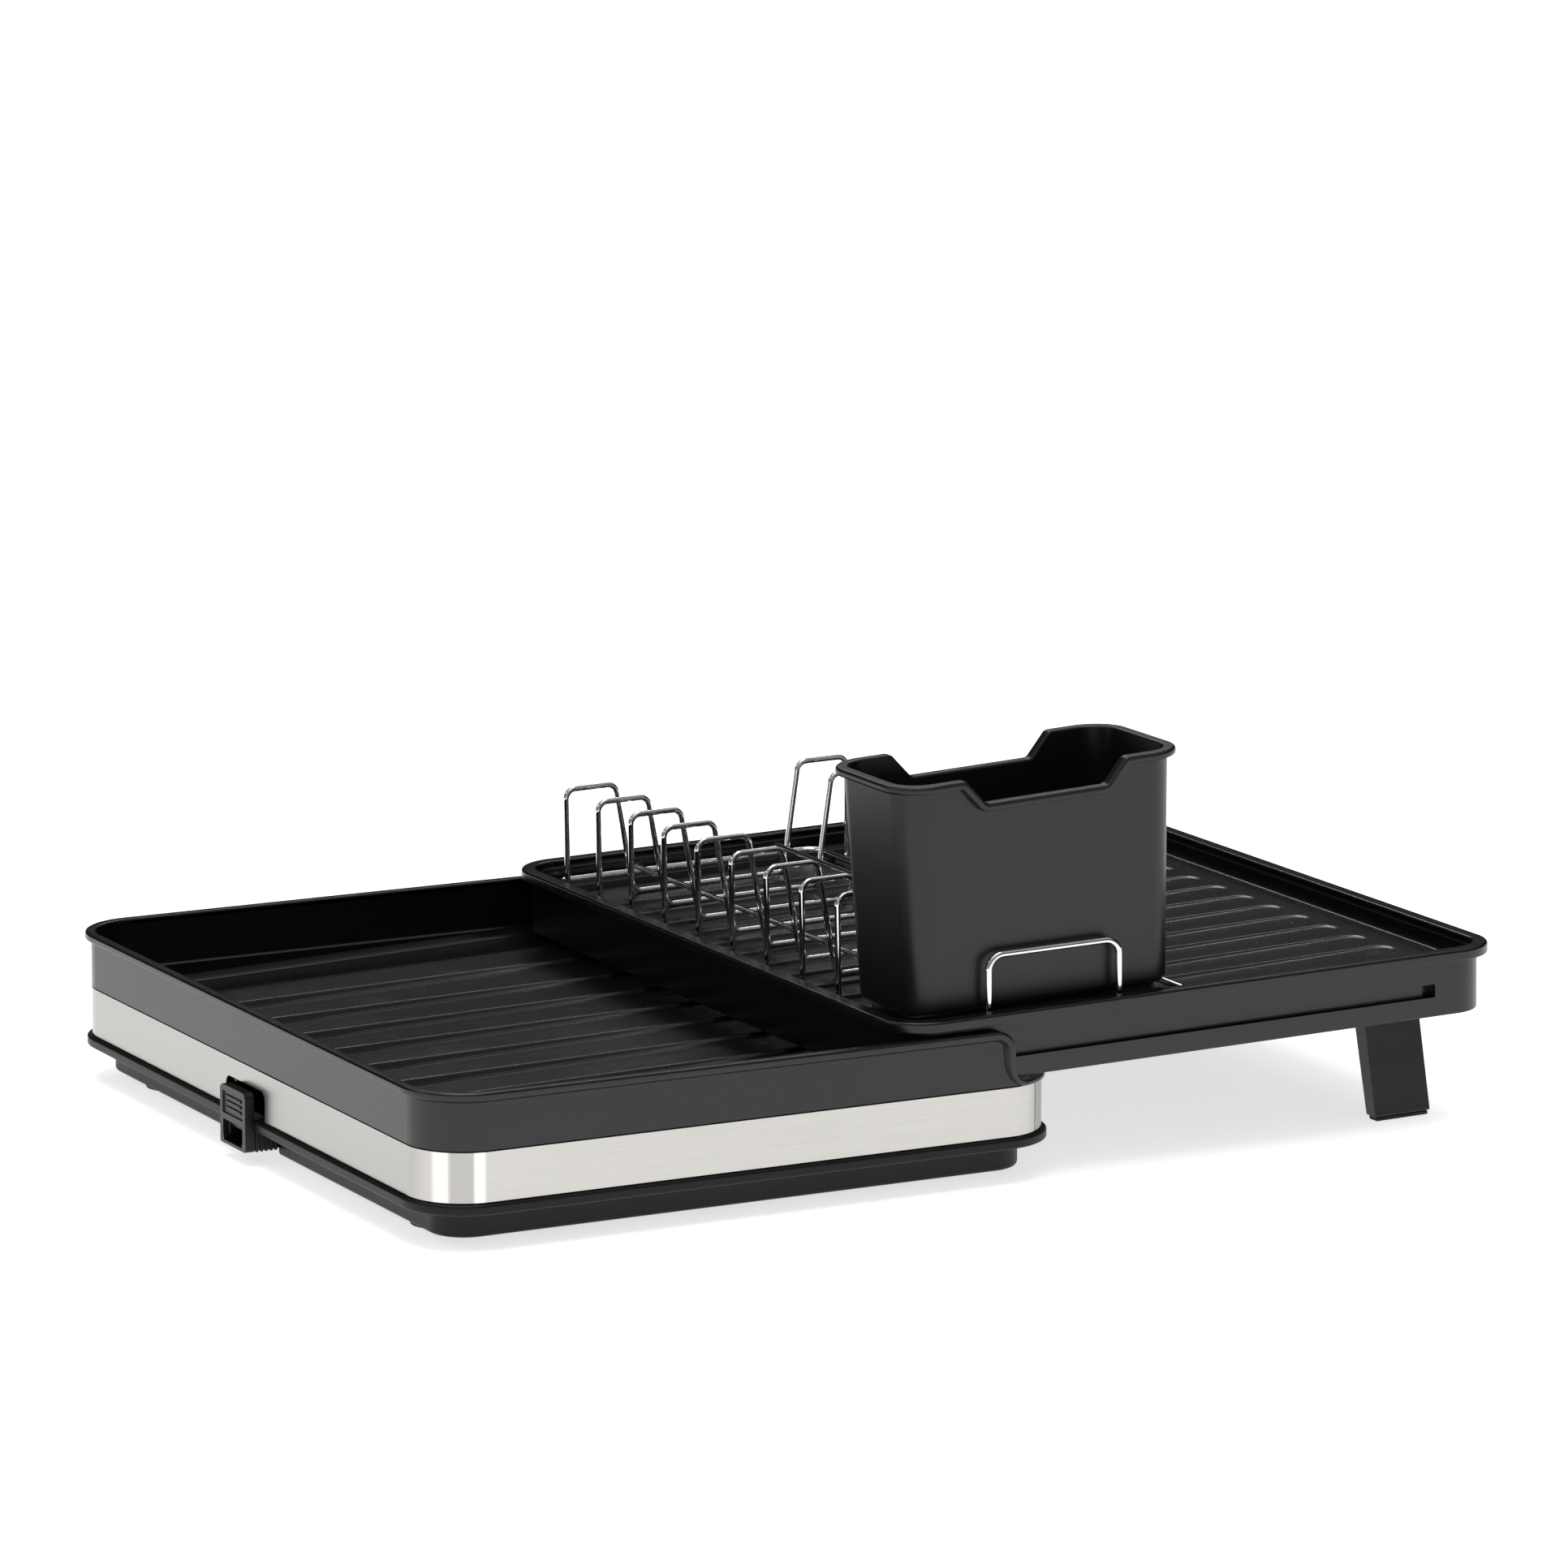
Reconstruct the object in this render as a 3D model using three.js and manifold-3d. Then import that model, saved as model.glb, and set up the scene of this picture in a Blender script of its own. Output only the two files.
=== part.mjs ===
// Extendable dish drying rack: a lower drip basin with a steel band and a push-in drain spout,
// a narrower drainer tray that slides out of it on two folding legs, a chrome plate rack that
// lifts out of the tray, and a cutlery holder. Millimetres, +Z up. The rack is drawn extended.
//
// Each unit is drawn from its own front left corner and the whole is then centred, so that the
// origin is the middle of the footprint on the counter. X runs along the slide, Y to the back.

import * as THREE from 'three';
import { mergeVertices } from 'three/addons/utils/BufferGeometryUtils.js';
import Module from 'manifold-3d';

const wasm = await Module();
wasm.setup();

// ---------------------------------------------------------------- driving dimensions
const GAP = 0.3;                      // clearance kept between neighbouring pieces
const ARC = 6;                        // segments in a quarter round
const TALL = 90;                      // taller than any wall, for tools that cut right through
const PAST = 5;                       // how far a cutting tool runs past the faces it opens
const SUNK = 0.5;                     // how far a joined piece is sunk into its neighbour

const BASIN = {
  length: 293.6, depth: 373, corner: 26, wall: 2.2,
  underside: 20.1, bandTop: 41.7, rimBottom: 62, top: 66.5, rimProud: 2.8,
  ribTopLeft: 36.3, ribSlope: 0.021, channelLeft: 33, channelSlope: 0.031, underFloor: 2.4,
  ribPitch: 33.3, ribWidth: 19, outerRibWidth: 28, ribStart: 20, ribEnd: 287,
};
const CUT = { rimEnd: 260.4, topRadius: 8.6, bottomRadius: 7.6, shelf: 43.4 };
const BAND = { bottom: 20.1, top: 41.4, thickness: 0.7, backing: 0.4 };
const BASE = { footBottom: 3, footTop: 15.1, flangeTop: 19.8, proud: 2.3, inset: 10, wall: 3 };
const FOOT = { radius: 11, top: 5.2, fromLeft: 24.5, fromFront: 50, bossHalf: 14, bossCorner: 4 };
const SPOUT = {
  width: 26, bottom: 5.9, top: 31.6, face: -6, thickness: 4.3, windowWidth: 20,
  windowBottom: 8.9, windowTop: 16.5, neckWidth: 22, neckBottom: 5.9, neckTop: 14.8,
  neckWall: 1.2, neckEnd: 24, neckPlay: 1.1, notchWidth: 40, notchTop: 33.2, pocket: 8,
  drainX: 17, drainRadius: 5, rings: 4, ringStart: 2.4, ringPitch: 2.2, ringWidth: 1.1, ringProud: 0.7,
  plateCorner: 3, grips: 3, gripPitch: 2.8, gripWidth: 1.2,
};
const TRAY = {
  left: 214.2, rimLeft: 73.15, slope: 0.0195, length: 299.2, front: -1.2, back: 374.2,
  corner: 21.5, overhang: 4.65, rimHeight: 4.8, wall: 2.2, skirt: 29.4,
  floorLeft: 15.2, floorSlope: 0.012, ceilingLeft: 18.4, ribHeight: 2,
  ribPitch: 24.6, ribWidth: 11, ribStart: 20, ribEnd: 268, drainX: 13, drainRadius: 4.5,
};
const GROOVE = { start: 38.5, end: 265.6, top: 14.9, bottom: 20.7, depth: 3.4, backing: 6.2 };
const PIN = { x: 256, radius: 2.2, sunk: 1.1 };
const LEG = {
  x: 261.3, width: 28, thick: 9.4, tipThick: 7.4, hingeY: 38.4, hingeZ: 54,
  lean: 13.1, pinRadius: 1.5, earWidth: 3, earHalf: 5, earBelow: 4.5, padHeight: 1.5, padSlimmer: 1.4,
  cutLength: 66,
};
const RACK = {
  wire: 1.3, frameWire: 1.7, left: 227.9, right: 371.9, first: 78.6, pitch: 32.4, count: 9,
  topWidth: 25.6, lean: 8, rise: 51.2, floor: 11.6, front: 10, back: 361, railHeight: 0.3,
  loopWire: 1.5, loopLeft: 262.6, loopRight: 325.8, loopRise: 22.6, frameHeight: 8.2,
  frameBend: 9, hoopBend: 4.5, loopBend: 6.5, railPast: 5, capRadius: 3, capFront: 14, capRear: 12,
};
const HOLDER = {
  x: 288.75, y: 43.6, rim: 174.3, length: 139.5, depth: 71.2, corner: 17.4, height: 102,
  footDrop: 8, footInset: 4.5,
  lip: 3.6, lipHeight: 3.6, wall: 2, draft: 2.07, tilt: 0.046,
  dipWidth: 58, dipTop: 77, dipDepth: 10.6, dipLip: 1.5, drainHole: 3,
  drainX: [-40, -20, 0, 20, 40], drainY: [-11, 11],
};

const OUTER_LEFT = SPOUT.face;
const OUTER_RIGHT = TRAY.left + TRAY.length * Math.cos(TRAY.slope);
const CENTRE = new THREE.Vector3((OUTER_LEFT + OUTER_RIGHT) / 2, BASIN.depth / 2, 0);

// ---------------------------------------------------------------- finishes
const satinBlack = new THREE.MeshStandardMaterial({ color: 0x2c2d2f, roughness: 0.45, metalness: 0 });
const trayBlack = new THREE.MeshStandardMaterial({ color: 0x232426, roughness: 0.5, metalness: 0 });
const brushedSteel = new THREE.MeshStandardMaterial({ color: 0xcfccc6, roughness: 0.35, metalness: 1 });
const chrome = new THREE.MeshStandardMaterial({ color: 0xe8e8ea, roughness: 0.08, metalness: 1 });
const blackRubber = new THREE.MeshStandardMaterial({ color: 0x161616, roughness: 0.8, metalness: 0 });
const pinSteel = new THREE.MeshStandardMaterial({ color: 0xb8babd, roughness: 0.3, metalness: 1 });

// ---------------------------------------------------------------- shaping helpers
/** A manifold solid made from a closed geometry. */
function solid(geometry) {
  const bare = geometry.clone();
  bare.deleteAttribute('normal');
  bare.deleteAttribute('uv');
  const merged = mergeVertices(bare, 1e-5);
  return new wasm.Manifold(new wasm.Mesh({
    numProp: 3,
    vertProperties: new Float32Array(merged.attributes.position.array),
    triVerts: new Uint32Array(merged.index.array),
  }));
}

/** A geometry made from a manifold solid. */
function geometryOf(body) {
  const mesh = body.getMesh();
  const geometry = new THREE.BufferGeometry();
  geometry.setAttribute('position', new THREE.BufferAttribute(new Float32Array(mesh.vertProperties), 3));
  geometry.setIndex(new THREE.BufferAttribute(new Uint32Array(mesh.triVerts), 1));
  geometry.computeVertexNormals();
  return geometry;
}

const join = (...bodies) => bodies.reduce((whole, next) => whole.add(next));
const cut = (body, ...tools) => tools.reduce((whole, tool) => whole.subtract(tool), body);

/** A rounded rectangle in the XY plane. */
function roundedRectangle(x0, x1, y0, y1, radius) {
  const shape = new THREE.Shape();
  shape.moveTo(x0 + radius, y0);
  shape.lineTo(x1 - radius, y0);
  shape.absarc(x1 - radius, y0 + radius, radius, -Math.PI / 2, 0);
  shape.absarc(x1 - radius, y1 - radius, radius, 0, Math.PI / 2);
  shape.absarc(x0 + radius, y1 - radius, radius, Math.PI / 2, Math.PI);
  shape.absarc(x0 + radius, y0 + radius, radius, Math.PI, 1.5 * Math.PI);
  return shape;
}

/** A shape raised from z0 to z1. */
function prism(shape, z0, z1) {
  const body = new THREE.ExtrudeGeometry(shape, { depth: z1 - z0, bevelEnabled: false, curveSegments: ARC });
  return solid(body.translate(0, 0, z0));
}

/** A block between two corners. */
function block(x0, x1, y0, y1, z0, z1) {
  const body = new THREE.BoxGeometry(x1 - x0, y1 - y0, z1 - z0);
  return solid(body.translate((x0 + x1) / 2, (y0 + y1) / 2, (z0 + z1) / 2));
}

/** A block whose top and bottom follow the lines z = base + slope x. */
function wedge(x0, x1, y0, y1, bottom, top) {
  const side = new THREE.Shape();
  side.moveTo(x0, bottom(x0));
  side.lineTo(x1, bottom(x1));
  side.lineTo(x1, top(x1));
  side.lineTo(x0, top(x0));
  return sideways(side, y0, y1);
}

/** A shape drawn in XZ and run along Y from y0 to y1. */
function sideways(shape, y0, y1) {
  const body = new THREE.ExtrudeGeometry(shape, { depth: y1 - y0, bevelEnabled: false, curveSegments: ARC });
  return solid(body.rotateX(Math.PI / 2).translate(0, y1, 0));
}

/** A round bar along Y. */
function barAlongY(x, z, radius, y0, y1, sides = 16) {
  const body = new THREE.CylinderGeometry(radius, radius, y1 - y0, sides);
  return body.translate(x, (y0 + y1) / 2, z);
}

/** A round bar along X. */
function barAlongX(x0, x1, y, z, radius, sides = 16) {
  const body = new THREE.CylinderGeometry(radius, radius, x1 - x0, sides);
  return body.rotateZ(Math.PI / 2).translate((x0 + x1) / 2, y, z);
}

/** A round bar along Z. */
function uprightBar(x, y, radius, z0, z1, sides = 16) {
  const body = new THREE.CylinderGeometry(radius, radius, z1 - z0, sides);
  return body.rotateX(Math.PI / 2).translate(x, y, (z0 + z1) / 2);
}

/** A path through given points that an extrusion samples exactly at those points. */
class PointPath extends THREE.Curve {
  constructor(points) {
    super();
    this.points = points;
  }

  getPoint(t) {
    const last = this.points.length - 1;
    const place = Math.min(t * last, last - 1e-9);
    const index = Math.floor(place + 1e-9);
    return this.points[index].clone().lerp(this.points[Math.min(index + 1, last)], place - index);
  }

  getPointAt(u) {
    return this.getPoint(u);
  }

  getTangent(t) {
    const last = this.points.length - 1;
    const index = Math.round(t * last);
    const before = this.points[Math.max(index - 1, 0)];
    const after = this.points[Math.min(index + 1, last)];
    return after.clone().sub(before).normalize();
  }

  getTangentAt(u) {
    return this.getTangent(u);
  }
}

/** Corner points replaced by arcs of the given radius. */
function bend(corners, radius, segments = 3) {
  const points = [corners[0]];
  for (let i = 1; i < corners.length - 1; i += 1) {
    const into = corners[i - 1].clone().sub(corners[i]).normalize();
    const out = corners[i + 1].clone().sub(corners[i]).normalize();
    const half = into.angleTo(out) / 2;
    const reach = radius / Math.tan(half);
    const middle = into.clone().add(out).normalize().multiplyScalar(radius / Math.sin(half)).add(corners[i]);
    const from = corners[i].clone().addScaledVector(into, reach).sub(middle);
    const to = corners[i].clone().addScaledVector(out, reach).sub(middle);
    const sweep = from.angleTo(to);
    for (let k = 0; k <= segments; k += 1) {
      const a = (sweep * k) / segments;
      const point = from.clone().multiplyScalar(Math.sin(sweep - a) / Math.sin(sweep))
        .addScaledVector(to, Math.sin(a) / Math.sin(sweep));
      points.push(point.add(middle));
    }
  }
  points.push(corners[corners.length - 1]);
  return points;
}

/** A round wire with eight sides through the given points. */
function wire(points, radius) {
  const section = new THREE.Shape();
  for (let k = 0; k < 8; k += 1) {
    const a = ((k + 0.5) * Math.PI) / 4;
    const spot = [radius * Math.cos(a), radius * Math.sin(a)];
    if (k === 0) section.moveTo(...spot);
    else section.lineTo(...spot);
  }
  const path = new PointPath(points);
  return new THREE.ExtrudeGeometry(section, { extrudePath: path, steps: points.length - 1, bevelEnabled: false });
}

const point = (x, y, z) => new THREE.Vector3(x, y, z);

/** The y positions of evenly spaced ribs about a middle line. */
const ribRows = (middle, pitch, perSide) =>
  Array.from({ length: 2 * perSide + 1 }, (_, k) => middle + (k - perSide) * pitch);

/** A rib with rounded ends, cut to lie between two sloping surfaces. */
function rib(x0, x1, y, width, bottom, top) {
  const outline = roundedRectangle(x0, x1, y - width / 2, y + width / 2, width / 2 - 0.01);
  return prism(outline, 0, TALL).intersect(wedge(x0 - 1, x1 + 1, y - width, y + width, bottom, top));
}

/** A mesh with its node name and finish. */
function named(name, geometry, material) {
  const mesh = new THREE.Mesh(geometry, material);
  mesh.name = name;
  return mesh;
}

// ---------------------------------------------------------------- lower basin and base
/** The black basin: a walled shell, ribbed floor, rim, and a low right end for the tray. */
function lowerBasin() {
  const b = BASIN;
  const { length, depth, corner, wall } = b;
  const ribTop = (x) => b.ribTopLeft + b.ribSlope * x;
  const channel = (x) => b.channelLeft + b.channelSlope * x;
  const underside = (x) => channel(x) - b.underFloor;
  const inset = (d, z0, z1) =>
    prism(roundedRectangle(d, length - d, d, depth - d, corner - d), z0, z1);
  const behindBand = BAND.thickness + GAP + BAND.backing;

  const shell = join(
    inset(behindBand, b.underside, b.bandTop),
    inset(0, b.bandTop, b.top),
    inset(-b.rimProud, b.rimBottom, b.top),
  );
  const inside = inset(wall, 0, TALL).intersect(
    wedge(-PAST, length + PAST, -PAST, depth + PAST, channel, () => TALL),
  );
  const below = inset(behindBand + wall, 0, TALL).intersect(
    wedge(-PAST, length + PAST, -PAST, depth + PAST, () => 0, underside),
  );
  let basin = cut(shell, inside, below);

  const middle = depth / 2;
  const rows = ribRows(middle, b.ribPitch, 3).map((y) => [y, b.ribWidth]);
  const outerOffset = 3 * b.ribPitch + b.ribWidth / 2 + 14.3 + b.outerRibWidth / 2;
  rows.push([middle - outerOffset, b.outerRibWidth], [middle + outerOffset, b.outerRibWidth]);
  const ribs = rows.map(([y, width]) => rib(b.ribStart, b.ribEnd, y, width, (x) => channel(x) - SUNK, ribTop));
  basin = join(basin, ...ribs);

  // the long walls drop in a soft S to a low shelf at the right end
  const s = new THREE.Shape();
  const drop = CUT.rimEnd + CUT.topRadius;
  s.moveTo(CUT.rimEnd, TALL);
  s.lineTo(CUT.rimEnd, b.top);
  s.absarc(CUT.rimEnd, b.top - CUT.topRadius, CUT.topRadius, Math.PI / 2, 0, true);
  s.lineTo(drop, CUT.shelf + CUT.bottomRadius);
  s.absarc(drop + CUT.bottomRadius, CUT.shelf + CUT.bottomRadius, CUT.bottomRadius, Math.PI, 1.5 * Math.PI);
  s.lineTo(length + PAST, CUT.shelf);
  s.lineTo(length + PAST, TALL);
  const opening = sideways(s, -PAST, depth + PAST);

  const pocket = block(-PAST, SPOUT.pocket, middle - SPOUT.notchWidth / 2, middle + SPOUT.notchWidth / 2,
    b.underside - PAST, SPOUT.notchTop);
  const pocketWall = block(behindBand + SUNK, SPOUT.pocket + wall, middle - SPOUT.notchWidth / 2 - wall,
    middle + SPOUT.notchWidth / 2 + wall, b.underside, SPOUT.notchTop + wall - 0.9);
  const bores = [0.8, depth - 2.6].map((y) =>
    solid(barAlongY(PIN.x, pinHeight(), PIN.radius + GAP, y, y + 1.8)));
  basin = cut(join(basin, pocketWall), opening, pocket, drainBore(), ...bores);
  return geometryOf(basin);
}

/** The drain's bore through the basin, the base and the top of the spout's neck. */
function drainBore() {
  const start = SPOUT.neckTop - 2 * SPOUT.neckWall;
  return solid(uprightBar(SPOUT.drainX, BASIN.depth / 2, SPOUT.drainRadius, start, TALL));
}

/** The steel band round the basin, open at the drain spout's notch and split at the back. */
function steelBand() {
  const { length, depth, corner } = BASIN;
  const t = BAND.thickness;
  const outer = prism(roundedRectangle(0, length, 0, depth, corner), BAND.bottom, BAND.top);
  const inner = prism(roundedRectangle(t, length - t, t, depth - t, corner - t), BAND.bottom - 1, BAND.top + 1);
  const middle = depth / 2;
  const notch = block(-PAST, PAST, middle - SPOUT.notchWidth / 2, middle + SPOUT.notchWidth / 2,
    BAND.bottom - 1, SPOUT.notchTop);
  return geometryOf(cut(outer, inner, notch));
}

/** The base: a flange under the band and a recessed foot wall, open below. */
function basePan() {
  const { length, depth, corner } = BASIN;
  const p = BASE;
  const inset = (d, z0, z1) =>
    prism(roundedRectangle(d, length - d, d, depth - d, corner - d), z0, z1);
  const middle = depth / 2;
  const pan = join(inset(-p.proud, p.footTop, p.flangeTop), inset(p.inset, p.footBottom, p.footTop));
  const hollow = inset(p.inset + p.wall, p.footBottom - 1, p.footTop + 2.2);
  const spoutHalf = SPOUT.width / 2 + GAP;
  const passage = block(-PAST, 5.4, middle - spoutHalf, middle + spoutHalf, 0, TALL);
  const neckHalf = SPOUT.neckWidth / 2 + SPOUT.neckPlay;
  const port = block(5, p.inset + p.wall + 1, middle - neckHalf, middle + neckHalf, 0, SPOUT.neckTop + 0.4);
  const bosses = footPlaces().map(([x, y]) =>
    prism(roundedRectangle(x - FOOT.bossHalf, x + FOOT.bossHalf, y - FOOT.bossHalf, y + FOOT.bossHalf,
      FOOT.bossCorner), p.footBottom, p.footTop + 2.5));
  const seats = footPlaces().map(([x, y]) =>
    solid(uprightBar(x, y, FOOT.radius + GAP, 0, FOOT.top + GAP, 24)));
  return geometryOf(cut(join(cut(pan, hollow, passage, port), ...bosses), ...seats, drainBore()));
}

/** The x and y of the middle of each foot. */
function footPlaces() {
  const { length, depth } = BASIN;
  return [
    [FOOT.fromLeft, FOOT.fromFront], [length - FOOT.fromLeft, FOOT.fromFront],
    [FOOT.fromLeft, depth - FOOT.fromFront], [length - FOOT.fromLeft, depth - FOOT.fromFront],
  ];
}

/** A rubber foot with a softened lower edge. */
function rubberFoot([x, y]) {
  const r = FOOT.radius;
  const profile = [[0, 0], [r - 1.4, 0], [r - 0.4, 0.4], [r, 1.4], [r, FOOT.top], [0, FOOT.top]];
  const body = new THREE.LatheGeometry(profile.map(([a, b]) => new THREE.Vector2(a, b)), 24);
  return body.rotateX(Math.PI / 2).translate(x, y, 0);
}

/** The drain spout: a push plate over an outlet window, and a ringed neck behind it. */
function drainSpout() {
  const s = SPOUT;
  const middle = BASIN.depth / 2;
  const [y0, y1] = [middle - s.width / 2, middle + s.width / 2];
  const plate = new THREE.ExtrudeGeometry(
    roundedRectangle(y0, y1, s.bottom, s.top, s.plateCorner),
    { depth: s.thickness, bevelEnabled: false, curveSegments: ARC },
  );
  plate.rotateX(Math.PI / 2).rotateZ(Math.PI / 2).translate(s.face, 0, 0);
  const back = s.face + s.thickness;
  const half = s.neckWidth / 2;
  const neck = block(back - SUNK, s.neckEnd, middle - half, middle + half, s.neckBottom, s.neckTop);
  const ringHalf = half + s.ringProud;
  const rings = Array.from({ length: s.rings }, (_, k) => {
    const x = back + s.ringStart + s.ringPitch * k;
    return block(x, x + s.ringWidth, middle - ringHalf, middle + ringHalf, s.neckBottom - 0.5, s.neckTop + 0.3);
  });
  const windowHalf = s.windowWidth / 2;
  const outlet = block(s.face - 2, s.neckEnd - 2, middle - windowHalf + 0.6, middle + windowHalf - 0.6,
    s.neckBottom + s.neckWall, s.neckTop - s.neckWall);
  const window = block(s.face - 2, back - 1.2, middle - windowHalf, middle + windowHalf,
    s.windowBottom, s.windowTop);
  const panel = block(s.face - 1, s.face + 0.6, y0 + 2.6, y1 - 2.6, s.windowTop + 2.4, s.top - 2.8);
  const grips = Array.from({ length: s.grips }, (_, k) => {
    const z = s.windowTop + 4.2 + s.gripPitch * k;
    return block(s.face + 0.1, s.face + 1, y0 + 5, y1 - 5, z, z + s.gripWidth);
  });
  const spout = cut(join(solid(plate), neck, ...rings), outlet, window, drainBore(), panel);
  return geometryOf(join(spout, ...grips));
}

/** Height of a guide pin on the counter frame: the middle of the tray's groove where the pin stands. */
function pinHeight() {
  const middle = (GROOVE.top + GROOVE.bottom) / 2;
  return TRAY.rimLeft + TRAY.slope * (PIN.x - TRAY.left) - middle;
}

/** A guide pin, pressed into the basin's wall and running in the tray's groove. */
function guidePin(rear) {
  const reach = TRAY.overhang + TRAY.front + GROOVE.depth - GAP;
  const [y0, y1] = rear ? [BASIN.depth - reach, BASIN.depth - PIN.sunk] : [PIN.sunk, reach];
  return barAlongY(PIN.x, pinHeight(), PIN.radius, y0, y1);
}

// ---------------------------------------------------------------- sliding tray and legs
/** The drainer tray, in its own frame: x from its left rim, z down from the top of the rim. */
function upperTray() {
  const t = TRAY;
  const w = t.overhang;
  const inset = (d, z0, z1) => prism(
    roundedRectangle(d, t.length - d, t.front + d, t.back - d, t.corner - Math.min(d, 16)), z0, z1,
  );
  const floor = (x) => -t.floorLeft + t.floorSlope * x;
  const ceiling = (x) => -t.ceilingLeft + t.floorSlope * x;
  const whole = (x0, x1, bottom, top) => wedge(x0, x1, t.front - PAST, t.back + PAST, bottom, top);
  const shell = join(inset(w, -t.skirt, 0), inset(0, -t.rimHeight, 0));
  const inside = inset(w + t.wall, -TALL, TALL).intersect(whole(-PAST, t.length + PAST, floor, () => TALL));
  const below = inset(w + t.wall, -TALL, TALL).intersect(whole(-PAST, t.length + PAST, () => -TALL, ceiling));
  let tray = cut(shell, inside, below);

  const middle = (t.front + t.back) / 2;
  const ribs = ribRows(middle, t.ribPitch, 6).map((y) =>
    rib(t.ribStart, t.ribEnd, y, t.ribWidth, (x) => floor(x) - SUNK, (x) => floor(x) + t.ribHeight));
  tray = join(tray, ...ribs);

  // a thick backing behind each groove, then the groove itself
  const g = GROOVE;
  const backings = [];
  const grooves = [];
  for (const [wallFace, inward] of [[t.front + w, 1], [t.back - w, -1]]) {
    const span = (a, b) => [Math.min(wallFace + inward * a, wallFace + inward * b),
      Math.max(wallFace + inward * a, wallFace + inward * b)];
    backings.push(block(w + 12, t.length - w - 12, ...span(1, g.backing), -g.bottom - 2.2, -g.top + 1));
    grooves.push(block(g.start, g.end, ...span(-1, g.depth), -g.bottom, -g.top));
  }
  tray = cut(join(tray, ...backings), ...grooves);

  // two pairs of hinge ears under the floor
  const clear = LEG.width / 2 + GAP;
  const ears = [];
  for (const y of legRows()) {
    for (const side of [-1, 1]) {
      const x = LEG.x + side * (clear + LEG.earWidth / 2);
      const low = hingeDrop() - LEG.earBelow;
      ears.push(block(x - LEG.earWidth / 2, x + LEG.earWidth / 2, y - LEG.earHalf, y + LEG.earHalf,
        low, ceiling(x) + 1));
    }
  }
  tray = join(tray, ...ears);
  const bores = legRows().map((y) =>
    solid(barAlongX(LEG.x - LEG.width, LEG.x + LEG.width, y, hingeDrop(), LEG.pinRadius + GAP)));
  const drain = solid(uprightBar(t.drainX, middle, t.drainRadius, -t.skirt, 0));
  return geometryOf(cut(tray, drain, ...bores));
}

/** The tray-frame y of the front and rear hinge pins. */
const legRows = () => [LEG.hingeY, BASIN.depth - LEG.hingeY];

/** The tray-frame z of the hinge pins. */
const hingeDrop = () => LEG.hingeZ - (TRAY.rimLeft + TRAY.slope * LEG.x);

/** Everything lower than the given height above the counter, in the frame of a standing leg. */
function groundUpTo(height, side) {
  const slab = new THREE.BoxGeometry(TALL, TALL, TALL).translate(0, 0, height - LEG.hingeZ - TALL / 2);
  return solid(slab.rotateY(TRAY.slope).rotateX(side * THREE.MathUtils.degToRad(LEG.lean)));
}

/** A tapered strip that hangs down past the counter, with a round head about the hinge. */
function legStrip(width, slimmer) {
  const [head, tip] = [(LEG.thick - slimmer) / 2, (LEG.tipThick - slimmer) / 2];
  const side = new THREE.Shape();
  side.moveTo(-head, 0);
  side.lineTo(-tip, -LEG.cutLength);
  side.lineTo(tip, -LEG.cutLength);
  side.lineTo(head, 0);
  side.absarc(0, 0, head, 0, Math.PI);
  const across = new THREE.ExtrudeGeometry(side, { depth: width, bevelEnabled: false, curveSegments: ARC });
  return solid(across.rotateX(Math.PI / 2).rotateZ(Math.PI / 2).translate(-width / 2, 0, 0));
}

/** The leg, its rubber pad and its pin, turned to stand on the counter. side is 1 at the front. */
function legGroup(word, y, side) {
  const bore = solid(barAlongX(-LEG.width, LEG.width, 0, 0, LEG.pinRadius + GAP));
  const leg = cut(legStrip(LEG.width, 0), groundUpTo(LEG.padHeight + GAP, side), bore);
  const padSlice = groundUpTo(LEG.padHeight, side).subtract(groundUpTo(0, side));
  const pad = legStrip(LEG.width - 2, LEG.padSlimmer).intersect(padSlice);
  const swing = new THREE.Group();
  swing.rotation.x = -side * THREE.MathUtils.degToRad(LEG.lean);
  swing.add(
    named(`leg_${word}`, geometryOf(leg), satinBlack),
    named(`leg_pad_${word}`, geometryOf(pad), blackRubber),
  );
  const pinHalf = LEG.width / 2 + LEG.earWidth + GAP + 0.4;
  const pin = barAlongX(-pinHalf, pinHalf, 0, 0, LEG.pinRadius);
  const group = new THREE.Group();
  group.position.set(LEG.x, y, hingeDrop());
  group.add(swing, named(`leg_pin_${word}`, pin, pinSteel));
  return group;
}

// ---------------------------------------------------------------- chrome plate rack
/** x on the counter frame as x in the tray's frame. */
const trayX = (x) => x - TRAY.left;

/** The rectangular base frame of the rack, two bent halves joined into one ring. */
function rackFrame() {
  const r = RACK;
  const z = -r.frameHeight;
  const inner = r.wire + r.frameWire + GAP;
  const [x0, x1] = [trayX(r.left) + inner, trayX(r.right) - inner];
  const middle = (x0 + x1) / 2;
  const half = (side, lap) => {
    const x = side < 0 ? x0 : x1;
    const corners = [point(middle - side * lap, r.front, z), point(x, r.front, z),
      point(x, r.back, z), point(middle - side * lap, r.back, z)];
    return solid(wire(bend(corners, r.frameBend, 4), r.frameWire));
  };
  return geometryOf(join(half(-1, 2), half(1, 2)));
}

/** One divider: an inverted U at each side and a cross run between them, all of one wire. */
function rackDivider(y) {
  const r = RACK;
  const low = -r.floor;
  const top = low + r.rise;
  const [x0, x1] = [trayX(r.left), trayX(r.right)];
  const corners = [
    point(x0, y, low), point(x0, y, top), point(x0 + r.topWidth, y, top),
    point(x0 + r.topWidth + r.lean, y, low), point(x1 - r.topWidth - r.lean, y, low),
    point(x1 - r.topWidth, y, top), point(x1, y, top), point(x1, y, low),
  ];
  return wire(bend(corners, r.hoopBend), r.wire);
}

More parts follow.
